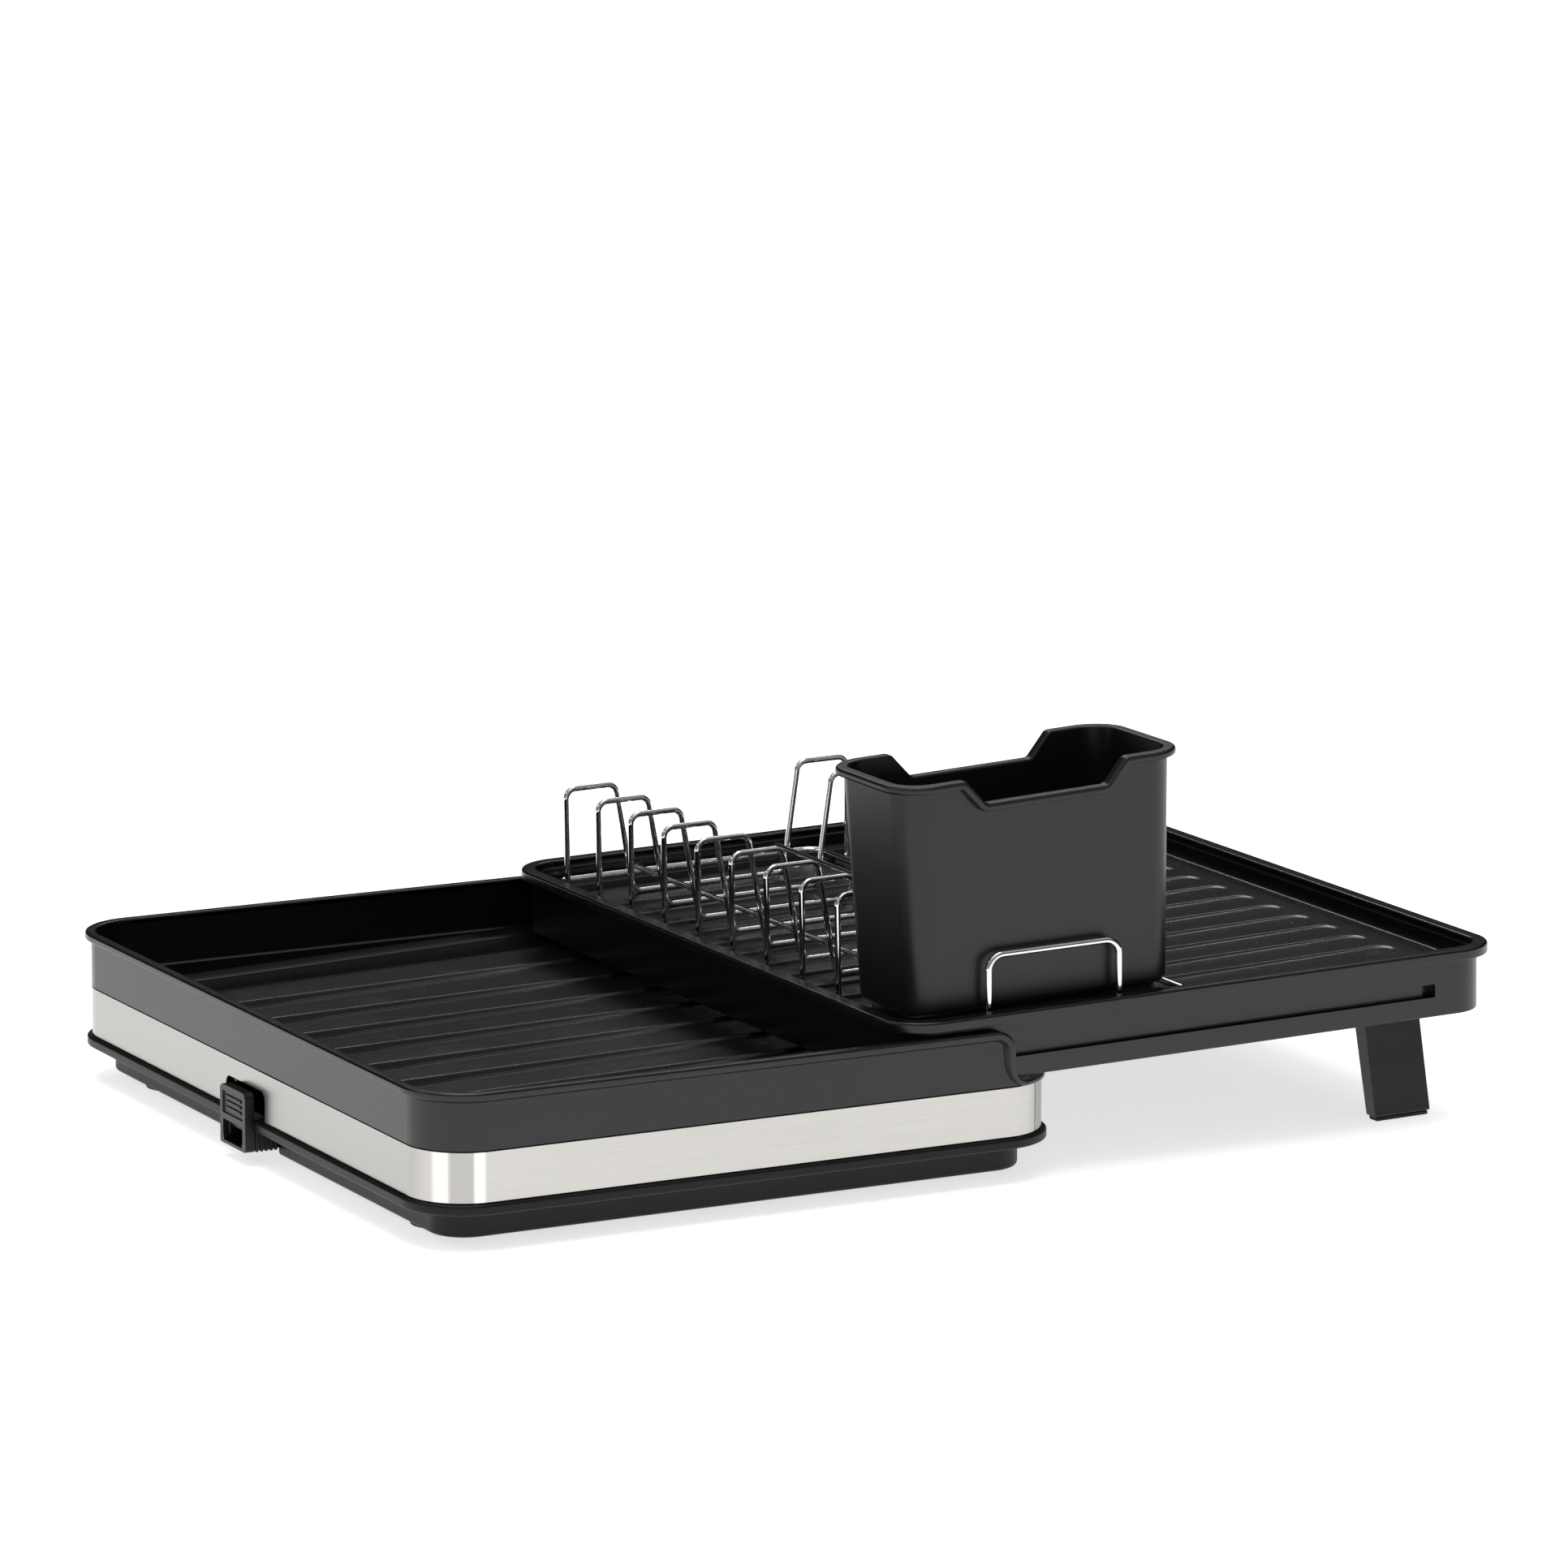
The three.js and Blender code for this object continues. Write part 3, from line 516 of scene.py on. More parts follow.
class Shell:
    """Closed surfaces that are gathered into one mesh."""

    def __init__(self, frame: Matrix) -> None:
        """Start empty, in a working frame in millimetres."""
        self.frame = frame
        self.points: list[Vector] = []
        self.faces: list[Face] = []

    def add(self, points: Sequence[Vector], faces: Sequence[Face]) -> None:
        """Add points and the faces between them."""
        first = len(self.points)
        self.points.extend(points)
        self.faces.extend(tuple(first + i for i in face) for face in faces)

    def loops(self, rings: Sequence[Sequence[Vector]], closed: bool) -> None:
        """Join rings of equal length by quads, and cap the ends unless the run is closed."""
        size = len(rings[0])
        points = [point for ring in rings for point in ring]
        faces: list[Face] = []
        for i in range(len(rings) if closed else len(rings) - 1):
            here = i * size
            there = ((i + 1) % len(rings)) * size
            for k in range(size):
                after = (k + 1) % size
                faces.append((here + k, there + k, there + after, here + after))
        if not closed:
            faces.append(tuple(range(size)))
            faces.append(tuple(reversed(range(len(points) - size, len(points)))))
        self.add(points, faces)

    def ring(self, outline: Sequence[Station], profile: Sequence[Spot]) -> None:
        """Sweep a closed profile of (outwards, z) spots round an outline."""
        rings = [
            [Vector((s.x + s.out.x * away, s.y + s.out.y * away, z)) for away, z in profile] for s in outline
        ]
        self.loops(rings, closed=True)

    def prism(self, outline: Sequence[Spot], place: Callable[[float, float, float], Vector],
              low: float, high: float) -> None:
        """Raise a closed outline from low to high.

        Args:
            outline: Points of the outline.
            place: Turns the outline's two coordinates and the height into a point.
            low: Height of the first face.
            high: Height of the second face.
        """
        self.loops([[place(a, b, low) for a, b in outline], [place(a, b, high) for a, b in outline]], False)

    def block(self, low: Sequence[float], high: Sequence[float], bevel: float = 0.0, steps: int = 2) -> None:
        """Add a box with softened edges."""
        mesh = bmesh.new()
        bmesh.ops.create_cube(mesh, size=1.0)
        for vert in mesh.verts:
            vert.co = Vector((low[i] if vert.co[i] < 0 else high[i] for i in range(3)))
        if bevel > 0:
            bmesh.ops.bevel(mesh, geom=mesh.edges[:], offset=bevel, segments=steps, profile=0.5,
                            affect="EDGES")
        mesh.verts.index_update()
        faces = [tuple(vert.index for vert in face.verts) for face in mesh.faces]
        self.add([vert.co.copy() for vert in mesh.verts], faces)
        mesh.free()

    def wire(self, path: Sequence[Vector], radius: float, sides: int = 18, closed: bool = False,
             cap: float = 0.35) -> None:
        """Add a round wire along a path, with softened ends."""
        frames = parallel_frames(path, closed)
        ring = [(math.cos(2 * math.pi * k / sides), math.sin(2 * math.pi * k / sides)) for k in range(sides)]
        rings = [[at + (side * a + up * b) * radius for a, b in ring] for at, side, up, _ in frames]
        if not closed:
            at, side, up, way = frames[0]
            rings.insert(0, [at - way * cap + (side * a + up * b) * (radius - cap) for a, b in ring])
            at, side, up, way = frames[-1]
            rings.append([at + way * cap + (side * a + up * b) * (radius - cap) for a, b in ring])
        self.loops(rings, closed)

    def turned(self, profile: Sequence[Spot], centre: Vector, axis: Vector, sides: int = 32) -> None:
        """Turn an open profile of (radius, height) spots, which starts and ends on the axis."""
        up = axis.normalized()
        side = up.orthogonal().normalized()
        other = up.cross(side)
        rings = []
        for radius, height in profile[1:-1]:
            rings.append([
                centre + up * height + (side * math.cos(2 * math.pi * k / sides)
                                        + other * math.sin(2 * math.pi * k / sides)) * radius
                for k in range(sides)
            ])
        self.loops(rings, closed=False)

    def piece(self, name: str, finish: Finish, body: Body, replaces: Sequence[str] = (),
              sharp: float = 35.0) -> None:
        """Make the gathered surfaces into a piece that rides on a body.

        Args:
            name: The piece's name.
            finish: What it is made of.
            body: The body that it moves with.
            replaces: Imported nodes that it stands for.
            sharp: Edges that turn by more degrees than this stay sharp.
        """
        finish_piece(self.bare(name), finish, body, replaces, sharp)

    def bare(self, name: str) -> bpy.types.Object:
        """Make the gathered surfaces into an object with no finish."""
        mesh = bpy.data.meshes.new(name)
        mesh.from_pydata([(self.frame @ point) * MM for point in self.points], [], self.faces)
        work = bmesh.new()
        work.from_mesh(mesh)
        bmesh.ops.remove_doubles(work, verts=work.verts, dist=1e-7)
        bmesh.ops.recalc_face_normals(work, faces=work.faces)
        work.to_mesh(mesh)
        work.free()
        made = bpy.data.objects.new(name, mesh)
        bpy.context.scene.collection.objects.link(made)
        return made


def parallel_frames(path: Sequence[Vector], closed: bool) -> list[tuple[Vector, Vector, Vector, Vector]]:
    """Return each point of a path with two directions across it and the one along it."""
    last = len(path) - 1
    frames = []
    side = None
    for i, at in enumerate(path):
        before = path[i - 1] if i > 0 or closed else path[0]
        after = path[(i + 1) % len(path)] if i < last or closed else path[last]
        into = (at - before).normalized() if (at - before).length > 0 else Vector()
        onward = (after - at).normalized() if (after - at).length > 0 else Vector()
        way = (into + onward).normalized()
        if side is None:
            side = way.orthogonal().normalized()
        side = (side - way * side.dot(way)).normalized()
        frames.append((at.copy(), side.copy(), way.cross(side), way))
    return frames


def bent(corners: Sequence[Vector], radius: float, steps: int = 8) -> list[Vector]:
    """Return a path through corners, with each inner corner bent to a radius."""
    path = [corners[0]]
    for before, here, after in zip(corners, corners[1:], corners[2:]):
        start = (before - here).normalized()
        end = (after - here).normalized()
        half = start.angle(end) / 2
        reach = radius / math.tan(half)
        middle = here + (start + end).normalized() * (radius / math.sin(half))
        first = here + start * reach - middle
        second = here + end * reach - middle
        turn = first.angle(second)
        for i in range(steps + 1):
            a = turn * i / steps
            path.append(middle + first * (math.sin(turn - a) / math.sin(turn))
                        + second * (math.sin(a) / math.sin(turn)))
    path.append(corners[-1])
    return path


def finish_piece(made: bpy.types.Object, finish: Finish, body: Body, replaces: Sequence[str],
                 sharp: float) -> None:
    mesh = made.data
    mesh.materials.clear()
    mesh.materials.append(finish.material())
    mesh.shade_smooth()
    mesh.set_sharp_from_angle(angle=math.radians(sharp))
    weighted = made.modifiers.new("even_shading", "WEIGHTED_NORMAL")
    weighted.keep_sharp = True
    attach(made, body.value)
    if replaces:
        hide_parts(*replaces)
    LOG.info("%s: %d faces, rides on %s", made.name, len(mesh.polygons), body.value)


def settle(made: bpy.types.Object) -> None:
    """Make an object's modifiers part of its mesh."""
    settled = bpy.context.evaluated_depsgraph_get()
    result = bpy.data.meshes.new_from_object(made.evaluated_get(settled))
    made.modifiers.clear()
    made.data = result


def carve(made: bpy.types.Object, *tools: bpy.types.Object, operation: str = "DIFFERENCE") -> None:
    """Cut tools out of an object, or join them to it, and delete the tools."""
    for tool in tools:
        modifier = made.modifiers.new("carve", "BOOLEAN")
        modifier.operation = operation
        modifier.solver = "EXACT"
        modifier.object = tool
        settle(made)
        bpy.data.objects.remove(tool)


def merge(made: bpy.types.Object, *others: bpy.types.Object) -> None:
    """Add the meshes of other objects to an object's own, and delete those objects."""
    work = bmesh.new()
    work.from_mesh(made.data)
    for other in others:
        work.from_mesh(other.data)
        bpy.data.objects.remove(other)
    work.to_mesh(made.data)
    work.free()


# ------------------------------------------------------------------------------ working frames


def counter_frame() -> Matrix:
    """Return the frame whose corner is the basin's front left corner on the counter."""
    low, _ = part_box("steel_band")
    return Matrix.Translation((low[0] / MM, low[1] / MM, 0))


@dataclass(frozen=True)
class TrayPlace:
    """Where the tray's own frame lies in the counter frame."""

    left: float = 214.2
    rim: float = 73.15
    slope: float = 0.0195

    def matrix(self) -> Matrix:
        """Return the tray frame."""
        return (counter_frame() @ Matrix.Translation((self.left, 0, self.rim))
                @ Matrix.Rotation(-self.slope, 4, "Y"))


TRAY_PLACE = TrayPlace()


# ------------------------------------------------------------------------------ floors and rims


@dataclass(frozen=True)
class FloorStrip:
    """A long raised or sunk strip of a floor, with round ends."""

    y: float
    half_left: float
    half_right: float
    start: float
    end: float

    def half(self, x: float) -> float:
        """Return half the strip's width at x."""
        share = min(max((x - self.start) / (self.end - self.start), 0), 1)
        return self.half_left + (self.half_right - self.half_left) * share

    def signed(self, x: float, y: float) -> float:
        """Return how far a point is outside the strip, negative inside."""
        half = self.half(x)
        near = min(max(x, self.start + half), self.end - half)
        return math.hypot(x - near, y - self.y) - half


@dataclass(frozen=True)
class Fall:
    """A height that changes evenly along x."""

    z: float
    slope: float
    at: float = 0.0

    def __call__(self, x: float) -> float:
        """Return the height at x."""
        return self.z + self.slope * (x - self.at)


EDGE_STEPS = (0, 0.6, 1.4, 2.4, 3.6, 5, 6.6, 8.5)
SLOPE_SHARES = (-0.6, -0.38, -0.2, 0, 0.2, 0.38, 0.6)
TOP_SHARES = (-0.7, -0.5, -0.3, -0.1, 0.1, 0.3, 0.5, 0.7)
LONG_CELLS = 26
END_CELL = 0.6
LEAST_CELL = 0.45


@dataclass(frozen=True)
class RibbedFloor:
    """A floor sheet whose top follows strips, a fall along x, and a fillet up its walls.

    Its grid lines stand at EDGE_STEPS from each wall, at SLOPE_SHARES of a strip's soft edge and at
    TOP_SHARES of its half width. Along x there are LONG_CELLS even cells, and cells of END_CELL where
    the strips end, with none under LEAST_CELL.
    """

    plan: Plan
    strips: tuple[FloorStrip, ...]
    level: Callable[[float], float]
    strip_level: Callable[[float], float]
    edge: float
    fillet: float
    wall: Plan
    thickness: float
    highest: Callable[[float], float]

    def height(self, x: float, y: float) -> float:
        """Return the floor's height at a point."""
        out = min(strip.signed(x, y) for strip in self.strips)
        share = min(max(0.5 - out / self.edge, 0), 1)
        share = share * share * (3 - 2 * share)
        z = self.level(x) + (self.strip_level(x) - self.level(x)) * share
        near = self.fillet + self.wall.signed(x, y)
        if near > 0:
            near = min(near, self.fillet)
            z += self.fillet - math.sqrt(max(self.fillet ** 2 - near ** 2, 0))
        return min(z, self.highest(x))

    def columns(self) -> list[float]:
        """Return the x of each grid line, closer together where the strips end."""
        low, high = self.plan.x0, self.plan.x1
        marks = [low + step for step in EDGE_STEPS]
        marks += [high - step for step in EDGE_STEPS]
        half = self.strips[0].half_left
        for stop in (self.strips[0].start, self.strips[0].end):
            toward = 1 if stop == self.strips[0].start else -1
            marks += [stop + toward * END_CELL * step for step in range(-3, round(half / END_CELL) + 3)]
        marks += [low + (high - low) * i / LONG_CELLS for i in range(1, LONG_CELLS)]
        return spaced(marks, low, high, LEAST_CELL)

    def rows(self, x: float) -> list[float]:
        """Return the y of each grid line at x: they follow the strips' edges."""
        low, high = self.plan.y0, self.plan.y1
        lines = [low + step for step in EDGE_STEPS]
        reach = self.edge * SLOPE_SHARES[-1]
        ordered = sorted(self.strips, key=lambda strip: strip.y)
        for before, strip in zip([None, *ordered], ordered):
            half = strip.half(x)
            start = lines[-1] if before is None else before.y + before.half(x) + reach
            lines.append((start + strip.y - half - reach) / 2)
            steps = [self.edge * share for share in SLOPE_SHARES]
            lines += [strip.y - half + step for step in steps]
            lines += [strip.y + half * share for share in TOP_SHARES]
            lines += [strip.y + half + step for step in steps]
        lines.append((lines[-1] + high - EDGE_STEPS[-1]) / 2)
        lines += [high - step for step in reversed(EDGE_STEPS)]
        return lines

    def add_to(self, shell: Shell) -> None:
        """Add the floor to a shell, as a closed sheet."""
        columns = self.columns()
        size = len(self.rows(columns[0]))
        top: list[Vector] = []
        for x in columns:
            for y in self.rows(x):
                px, py = self.plan.clamped(x, y)
                top.append(Vector((px, py, self.height(px, py))))
        bottom = [Vector((p.x, p.y, min(self.level(p.x), p.z) - self.thickness)) for p in top]
        total = len(top)
        faces: list[Face] = []
        for i in range(len(columns) - 1):
            for k in range(size - 1):
                a = i * size + k
                quad = (a, a + size, a + size + 1, a + 1)
                faces.append(quad)
                faces.append(tuple(total + v for v in reversed(quad)))
        rim = [i * size for i in range(len(columns))]
        rim += [(len(columns) - 1) * size + k for k in range(1, size)]
        rim += [i * size + size - 1 for i in range(len(columns) - 2, -1, -1)]
        rim += [k for k in range(size - 2, 0, -1)]
        for here, there in zip(rim, [*rim[1:], rim[0]]):
            faces.append((here, there, total + there, total + here))
        shell.add([*top, *bottom], faces)


def spaced(marks: Sequence[float], low: float, high: float, least: float) -> list[float]:
    """Return marks between low and high in order, without any that are closer than least."""
    kept = [low]
    for mark in sorted(marks):
        if mark - kept[-1] >= least and high - mark >= least:
            kept.append(mark)
    return [*kept, high]


@dataclass(frozen=True)
class EdgeStop:
    """A place on a wall's top edge, drawn flat: distance along, height, direction and slimness."""

    along: float
    z: float
    run: float
    rise: float
    scale: float = 1.0


def edge_stops(plan: Plan, corners: Sequence[Corner], scale: Callable[[float], float]) -> list[EdgeStop]:
    """Turn a wall's top edge, drawn flat, into the stops of a sweep.

    Args:
        plan: The wall's outer face seen from above.
        corners: Distance along, height and bend radius of each corner of the front half's edge.
        scale: The rim's slimness as a function of height.

    Returns:
        The stops over the front half.
    """
    path = [Vector(corners[0][:2])]
    for before, here, after in zip(corners, corners[1:], corners[2:]):
        three = [Vector((*corner[:2], 0)) for corner in (before, here, after)]
        path.extend(spot.xy for spot in bent(three, here[2], 7)[1:-1])
    path.append(Vector(corners[-1][:2]))
    dense = [path[0]]
    knots = plan.knots()
    for start, end in zip(path, path[1:]):
        if abs(end.y - start.y) < 1e-6:
            between = [knot for knot in knots if start.x + 0.3 < knot < end.x - 0.3]
            dense.extend(Vector((knot, start.y)) for knot in between)
        dense.append(end)
    stops = []
    for i, spot in enumerate(dense):
        way = dense[min(i + 1, len(dense) - 1)] - dense[max(i - 1, 0)]
        way.normalize()
        stops.append(EdgeStop(spot.x, spot.y, way.x, way.y, scale(spot.y)))
    return stops


def rim_rings(plan: Plan, stops: Sequence[EdgeStop], section: Sequence[Spot]) -> list[list[Vector]]:
    """Sweep a section along a wall's edge.

    Args:
        plan: The wall's outer face seen from above.
        stops: The edge over the plan's front half; the rear half is its mirror image.
        section: Spots of (outwards, above the edge).

    Returns:
        The rings of the sweep, in order round the plan.
    """
    front = []
    for stop in stops:
        place = plan.station(stop.along)
        out = Vector((place.out.x, place.out.y, 0))
        along = Vector((-place.out.y, place.out.x, 0))
        lift = Vector((0, 0, 1)) * stop.run - along * stop.rise
        at = Vector((place.x, place.y, stop.z))
        front.append([at + out * a * min(1.0, stop.scale if a > 0 else 1.0) + lift * b * stop.scale
                      for a, b in section])
    rear = [
        [Vector((p.x, 2 * plan.middle - p.y, p.z)) for p in ring] for ring in reversed(front[1:-1])
    ]
    return front + rear


# ------------------------------------------------------------------------------ drip basin


BASIN_PLAN = Plan(0.0, 293.6, 0.0, 373.0, 26.0)
DRAIN_X = 17.0
DRAIN_RADIUS = 5.0
NOTCH_HALF = 20.1
NOTCH_TOP = 33.1


@dataclass(frozen=True)
class DripBasin:
    """The lower basin: walls, a rim that drops in a soft S at the right, and a ribbed floor."""

    top: float = 66.5
    ledge: float = 41.7
    underside: float = 20.1
    low_top: float = 43.4
    rim_end: float = 260.4
    drop_radius: float = 8.6
    foot_radius: float = 7.6
    wall: float = 2.2
    behind_band: float = 1.4
    proud: float = 2.7
    rib_pitch: float = 33.3

    def edge_corners(self) -> list[Corner]:
        """Return the corners of the top edge over the front half, drawn flat."""
        plan = BASIN_PLAN
        start = (plan.y1 - plan.y0) / 2 - plan.radius + plan.radius * math.pi / 2
        drop = start + self.rim_end - plan.radius + self.drop_radius
        return [
            (0, self.top, 0), (drop, self.top, self.drop_radius),
            (drop, self.low_top, self.foot_radius), (plan.half_length, self.low_top, 0),
        ]

    def walls(self) -> bpy.types.Object:
        """Build the walls below the rim, cut to the S at the right end."""
        shell = Shell(counter_frame())
        ledge = self.low_top + 0.4
        profile = rounded([
            (-self.behind_band, self.underside, 0.3), (-self.behind_band, self.ledge, 0),
            (0, self.ledge, 0.4), (0, self.top - 1, 0), (-self.wall, self.top - 1, 0),
            (-self.wall, ledge + 0.8, 0.6), (-self.wall - 0.9, ledge, 0.4),
            (-self.wall - 0.9, self.underside, 0),
        ], 3)
        shell.ring(BASIN_PLAN.outline(14), profile)
        walls = shell.bare("lower_basin_skin")
        front, rear = BASIN_PLAN.middle - NOTCH_HALF, BASIN_PLAN.middle + NOTCH_HALF
        notch = box_tool(counter_frame(), (-5, front, 15), (8, rear, NOTCH_TOP))
        carve(walls, self.s_cutter(), notch)
        return walls

    def s_cutter(self) -> bpy.types.Object:
        """Return a tool that takes away everything above the S at the right end."""
        into = 1.2
        drop = self.rim_end + self.drop_radius - into
        outline = rounded([
            (self.rim_end - 3, 90, 0), (self.rim_end - 3, self.top - into, 0),
            (drop, self.top - into, self.drop_radius - into),
            (drop, self.low_top - into, self.foot_radius + into), (310, self.low_top - into, 0), (310, 90, 0),
        ], 8)
        tool = Shell(counter_frame())
        tool.prism(outline, seen_from_front, -12, 390)
        return tool.bare("tool")

    def rim(self, shell: Shell) -> None:
        """Add the rim, which becomes a slim bead down the S and round the low end."""
        section = rounded([
            (-self.wall, -2.6, 0.5), (0.1, -4.5, 0), (self.proud, -3.1, 0.8), (self.proud, 0, 1.1),
            (-self.wall, 0, 1.0),
        ], 4)
        stops = edge_stops(BASIN_PLAN, self.edge_corners(), self.slimness)
        shell.loops(rim_rings(BASIN_PLAN, stops, section), closed=True)

    def slimness(self, z: float) -> float:
        """Return how much of the rim's section is left at a height."""
        share = min(max((z - self.low_top) / (self.top - self.low_top), 0), 1)
        return 0.5 + 0.5 * min(1.0, share * 2.2)

    def floor(self) -> RibbedFloor:
        """Return the sloping floor with its nine plateaus."""
        middle = BASIN_PLAN.middle
        strips = [FloorStrip(middle + k * self.rib_pitch, 9.2, 12.6, 17, 288) for k in range(-3, 4)]
        strips = [FloorStrip(middle - 139.5, 14, 14.6, 17, 288), *strips,
                  FloorStrip(middle + 139.5, 14, 14.6, 17, 288)]
        return RibbedFloor(
            plan=BASIN_PLAN.inset(2.3), strips=tuple(strips),
            level=Fall(33.5, 0.0317, 18), strip_level=Fall(37.35, 0.021, 50),
            edge=2.0, fillet=4.5, wall=BASIN_PLAN.inset(self.wall + 0.9), thickness=2.4,
            highest=lambda x: 60.0 if x < 262 else 42.9,
        )

    def build(self) -> None:
        """Build the basin."""
        skin = self.walls()
        extra = Shell(counter_frame())
        self.rim(extra)
        self.floor().add_to(extra)
        rest = extra.bare("lower_basin_rest")
        frame = counter_frame()
        middle = BASIN_PLAN.middle
        carve(
            rest,
            round_tool(frame, Vector((DRAIN_X, middle, 10)), DRAIN_RADIUS, 45),
            box_tool(frame, (-5, middle - 14, 15), (6.5, middle + 14, 32.1)),
        )
        merge(skin, rest)
        finish_piece(skin, BASIN_PLASTIC, Body.BASE, ["lower_basin"], 38)


def round_tool(frame: Matrix, foot: Vector, radius: float, height: float) -> bpy.types.Object:
    """Return an upright round tool."""
    tool = Shell(frame)
    tool.turned([(0, 0), (radius, 0), (radius, height), (0, height)], foot, Vector((0, 0, 1)), 40)
    return tool.bare("tool")


def box_tool(frame: Matrix, low: Corner, high: Corner, bevel: float = 0.0) -> bpy.types.Object:
    """Return a box tool."""
    tool = Shell(frame)
    tool.block(low, high, bevel, 3)
    return tool.bare("tool")


@dataclass(frozen=True)
class SteelBand:
    """The brushed steel band round the basin, notched for the drain spout."""

    bottom: float = 20.1
    top: float = 41.4
    thickness: float = 0.7
    seam_turn: float = 34.0

    def seam_tool(self, side: int) -> bpy.types.Object:
        """Return a thin tool that opens the joint of the band at a right corner."""
        r = BASIN_PLAN.radius
        turn = math.radians(self.seam_turn)
        out = Vector((math.sin(turn), -side * math.cos(turn), 0))
        across = Vector((math.cos(turn), side * math.sin(turn), 0))
        edge_y = BASIN_PLAN.y0 + r if side > 0 else BASIN_PLAN.y1 - r
        centre = Vector((BASIN_PLAN.x1 - r, edge_y, 0))
        tool = Shell(counter_frame())
        tool.prism([(r - 3, -0.25), (r + 2, -0.25), (r + 2, 0.25), (r - 3, 0.25)],
                   lambda a, b, h: centre + out * a + across * b + Vector((0, 0, h)), 10, 50)
        return tool.bare("tool")

    def build(self) -> None:
        """Build the band."""
        t = self.thickness
        shell = Shell(counter_frame())
        profile = rounded([(0, self.bottom, 0.15), (0, self.top, 0.25), (-t, self.top, 0.15),
                           (-t, self.bottom, 0.15)], 2)
        shell.ring(BASIN_PLAN.outline(20), profile)
        band = shell.bare("steel_band_skin")
        middle = BASIN_PLAN.middle
        notch = Shell(counter_frame())
        outline = rounded([
            (middle - NOTCH_HALF, 10, 0), (middle + NOTCH_HALF, 10, 0),
            (middle + NOTCH_HALF, NOTCH_TOP, 4), (middle - NOTCH_HALF, NOTCH_TOP, 4),
        ], 5)
        notch.prism(outline, seen_from_left, -4, 4)
        carve(band, notch.bare("tool"), self.seam_tool(1), self.seam_tool(-1))
        finish_piece(band, BAND_STEEL, Body.BASE, ["steel_band"], 35)


@dataclass(frozen=True)
class BasePan:
    """The base: a flange under the band, a recessed foot wall, and four rubber feet."""

    flange: Spot = (15.2, 19.8)
    proud: float = 2.3
    inset: float = 10.0
    wall: float = 3.0
    bottom: float = 3.0
    sheet: float = 2.5
    foot_from_left: float = 24.5
    foot_from_front: float = 50.0
    foot_radius: float = 11.0
    cup_half: float = 12.6

    def feet(self) -> dict[str, Vector]:
        """Return the middle of each foot by name."""
        left, right = self.foot_from_left, BASIN_PLAN.x1 - self.foot_from_left
        front, rear = self.foot_from_front, BASIN_PLAN.y1 - self.foot_from_front
        return {
            "front_left": Vector((left, front, 0)), "front_right": Vector((right, front, 0)),
            "rear_left": Vector((left, rear, 0)), "rear_right": Vector((right, rear, 0)),
        }

    def build(self) -> None:
        """Build the base and its feet."""
        low, high = self.flange
        inner = -self.inset - self.wall
        shell = Shell(counter_frame())
        shell.ring(BASIN_PLAN.outline(14), rounded([
            (self.proud, low, 1.0), (self.proud, high, 1.3), (inner - 3, high, 0),
            (inner - 3, high - self.sheet, 0),
            (inner, high - self.sheet, 1.0), (inner, self.bottom, 0.8), (-self.inset, self.bottom, 1.9),
            (-self.inset, low, 3.4),
        ], 5))
        pan = shell.bare("base_pan_skin")
        middle = BASIN_PLAN.middle
        frame = counter_frame()
        carve(
            pan,
            box_tool(frame, (-5, middle - 13.3, 0), (5.4, middle + 13.3, 30)),
            box_tool(frame, (4, middle - 12.1, 0), (14, middle + 12.1, 15.2)),
        )
        rest = Shell(frame)
        plate = [(spot.x, spot.y) for spot in BASIN_PLAN.inset(-inner + 1.5).outline(8)]
        rest.prism(plate, seen_from_above, high - self.sheet, high)
        sheet = rest.bare("base_pan_plate")
        carve(sheet, round_tool(frame, Vector((DRAIN_X, middle, 10)), DRAIN_RADIUS, 20))
        cups = Shell(frame)
        for place in self.feet().values():
            half = self.cup_half
            cup = Plan(place.x - half, place.x + half, place.y - half, place.y + half, half - 0.1)
            cups.ring(cup.outline(8, 8), rounded([
                (0, self.bottom, 0.4), (0, high - 2, 0), (-7, high - 2, 0), (-7, 5.6, 0), (-1.2, 5.6, 0),
                (-1.2, self.bottom, 0.3),
            ], 2))
        merge(pan, sheet, cups.bare("base_pan_cups"))
        finish_piece(pan, BASE_PLASTIC, Body.BASE, ["base_pan"], 38)
        r = self.foot_radius
        for word, place in self.feet().items():
            foot = Shell(counter_frame())
            foot.turned([
                (0, 0.5), (r - 4.5, 0.5), (r - 4.0, 0), (r - 1.6, 0), (r - 0.5, 0.45), (r, 1.5), (r, 4.6),
                (r - 0.6, 5.2), (0, 5.2),
            ], place, Vector((0, 0, 1)), 48)
            foot.piece(f"rubber_foot_{word}", FOOT_RUBBER, Body.BASE, [f"foot_{word}"])


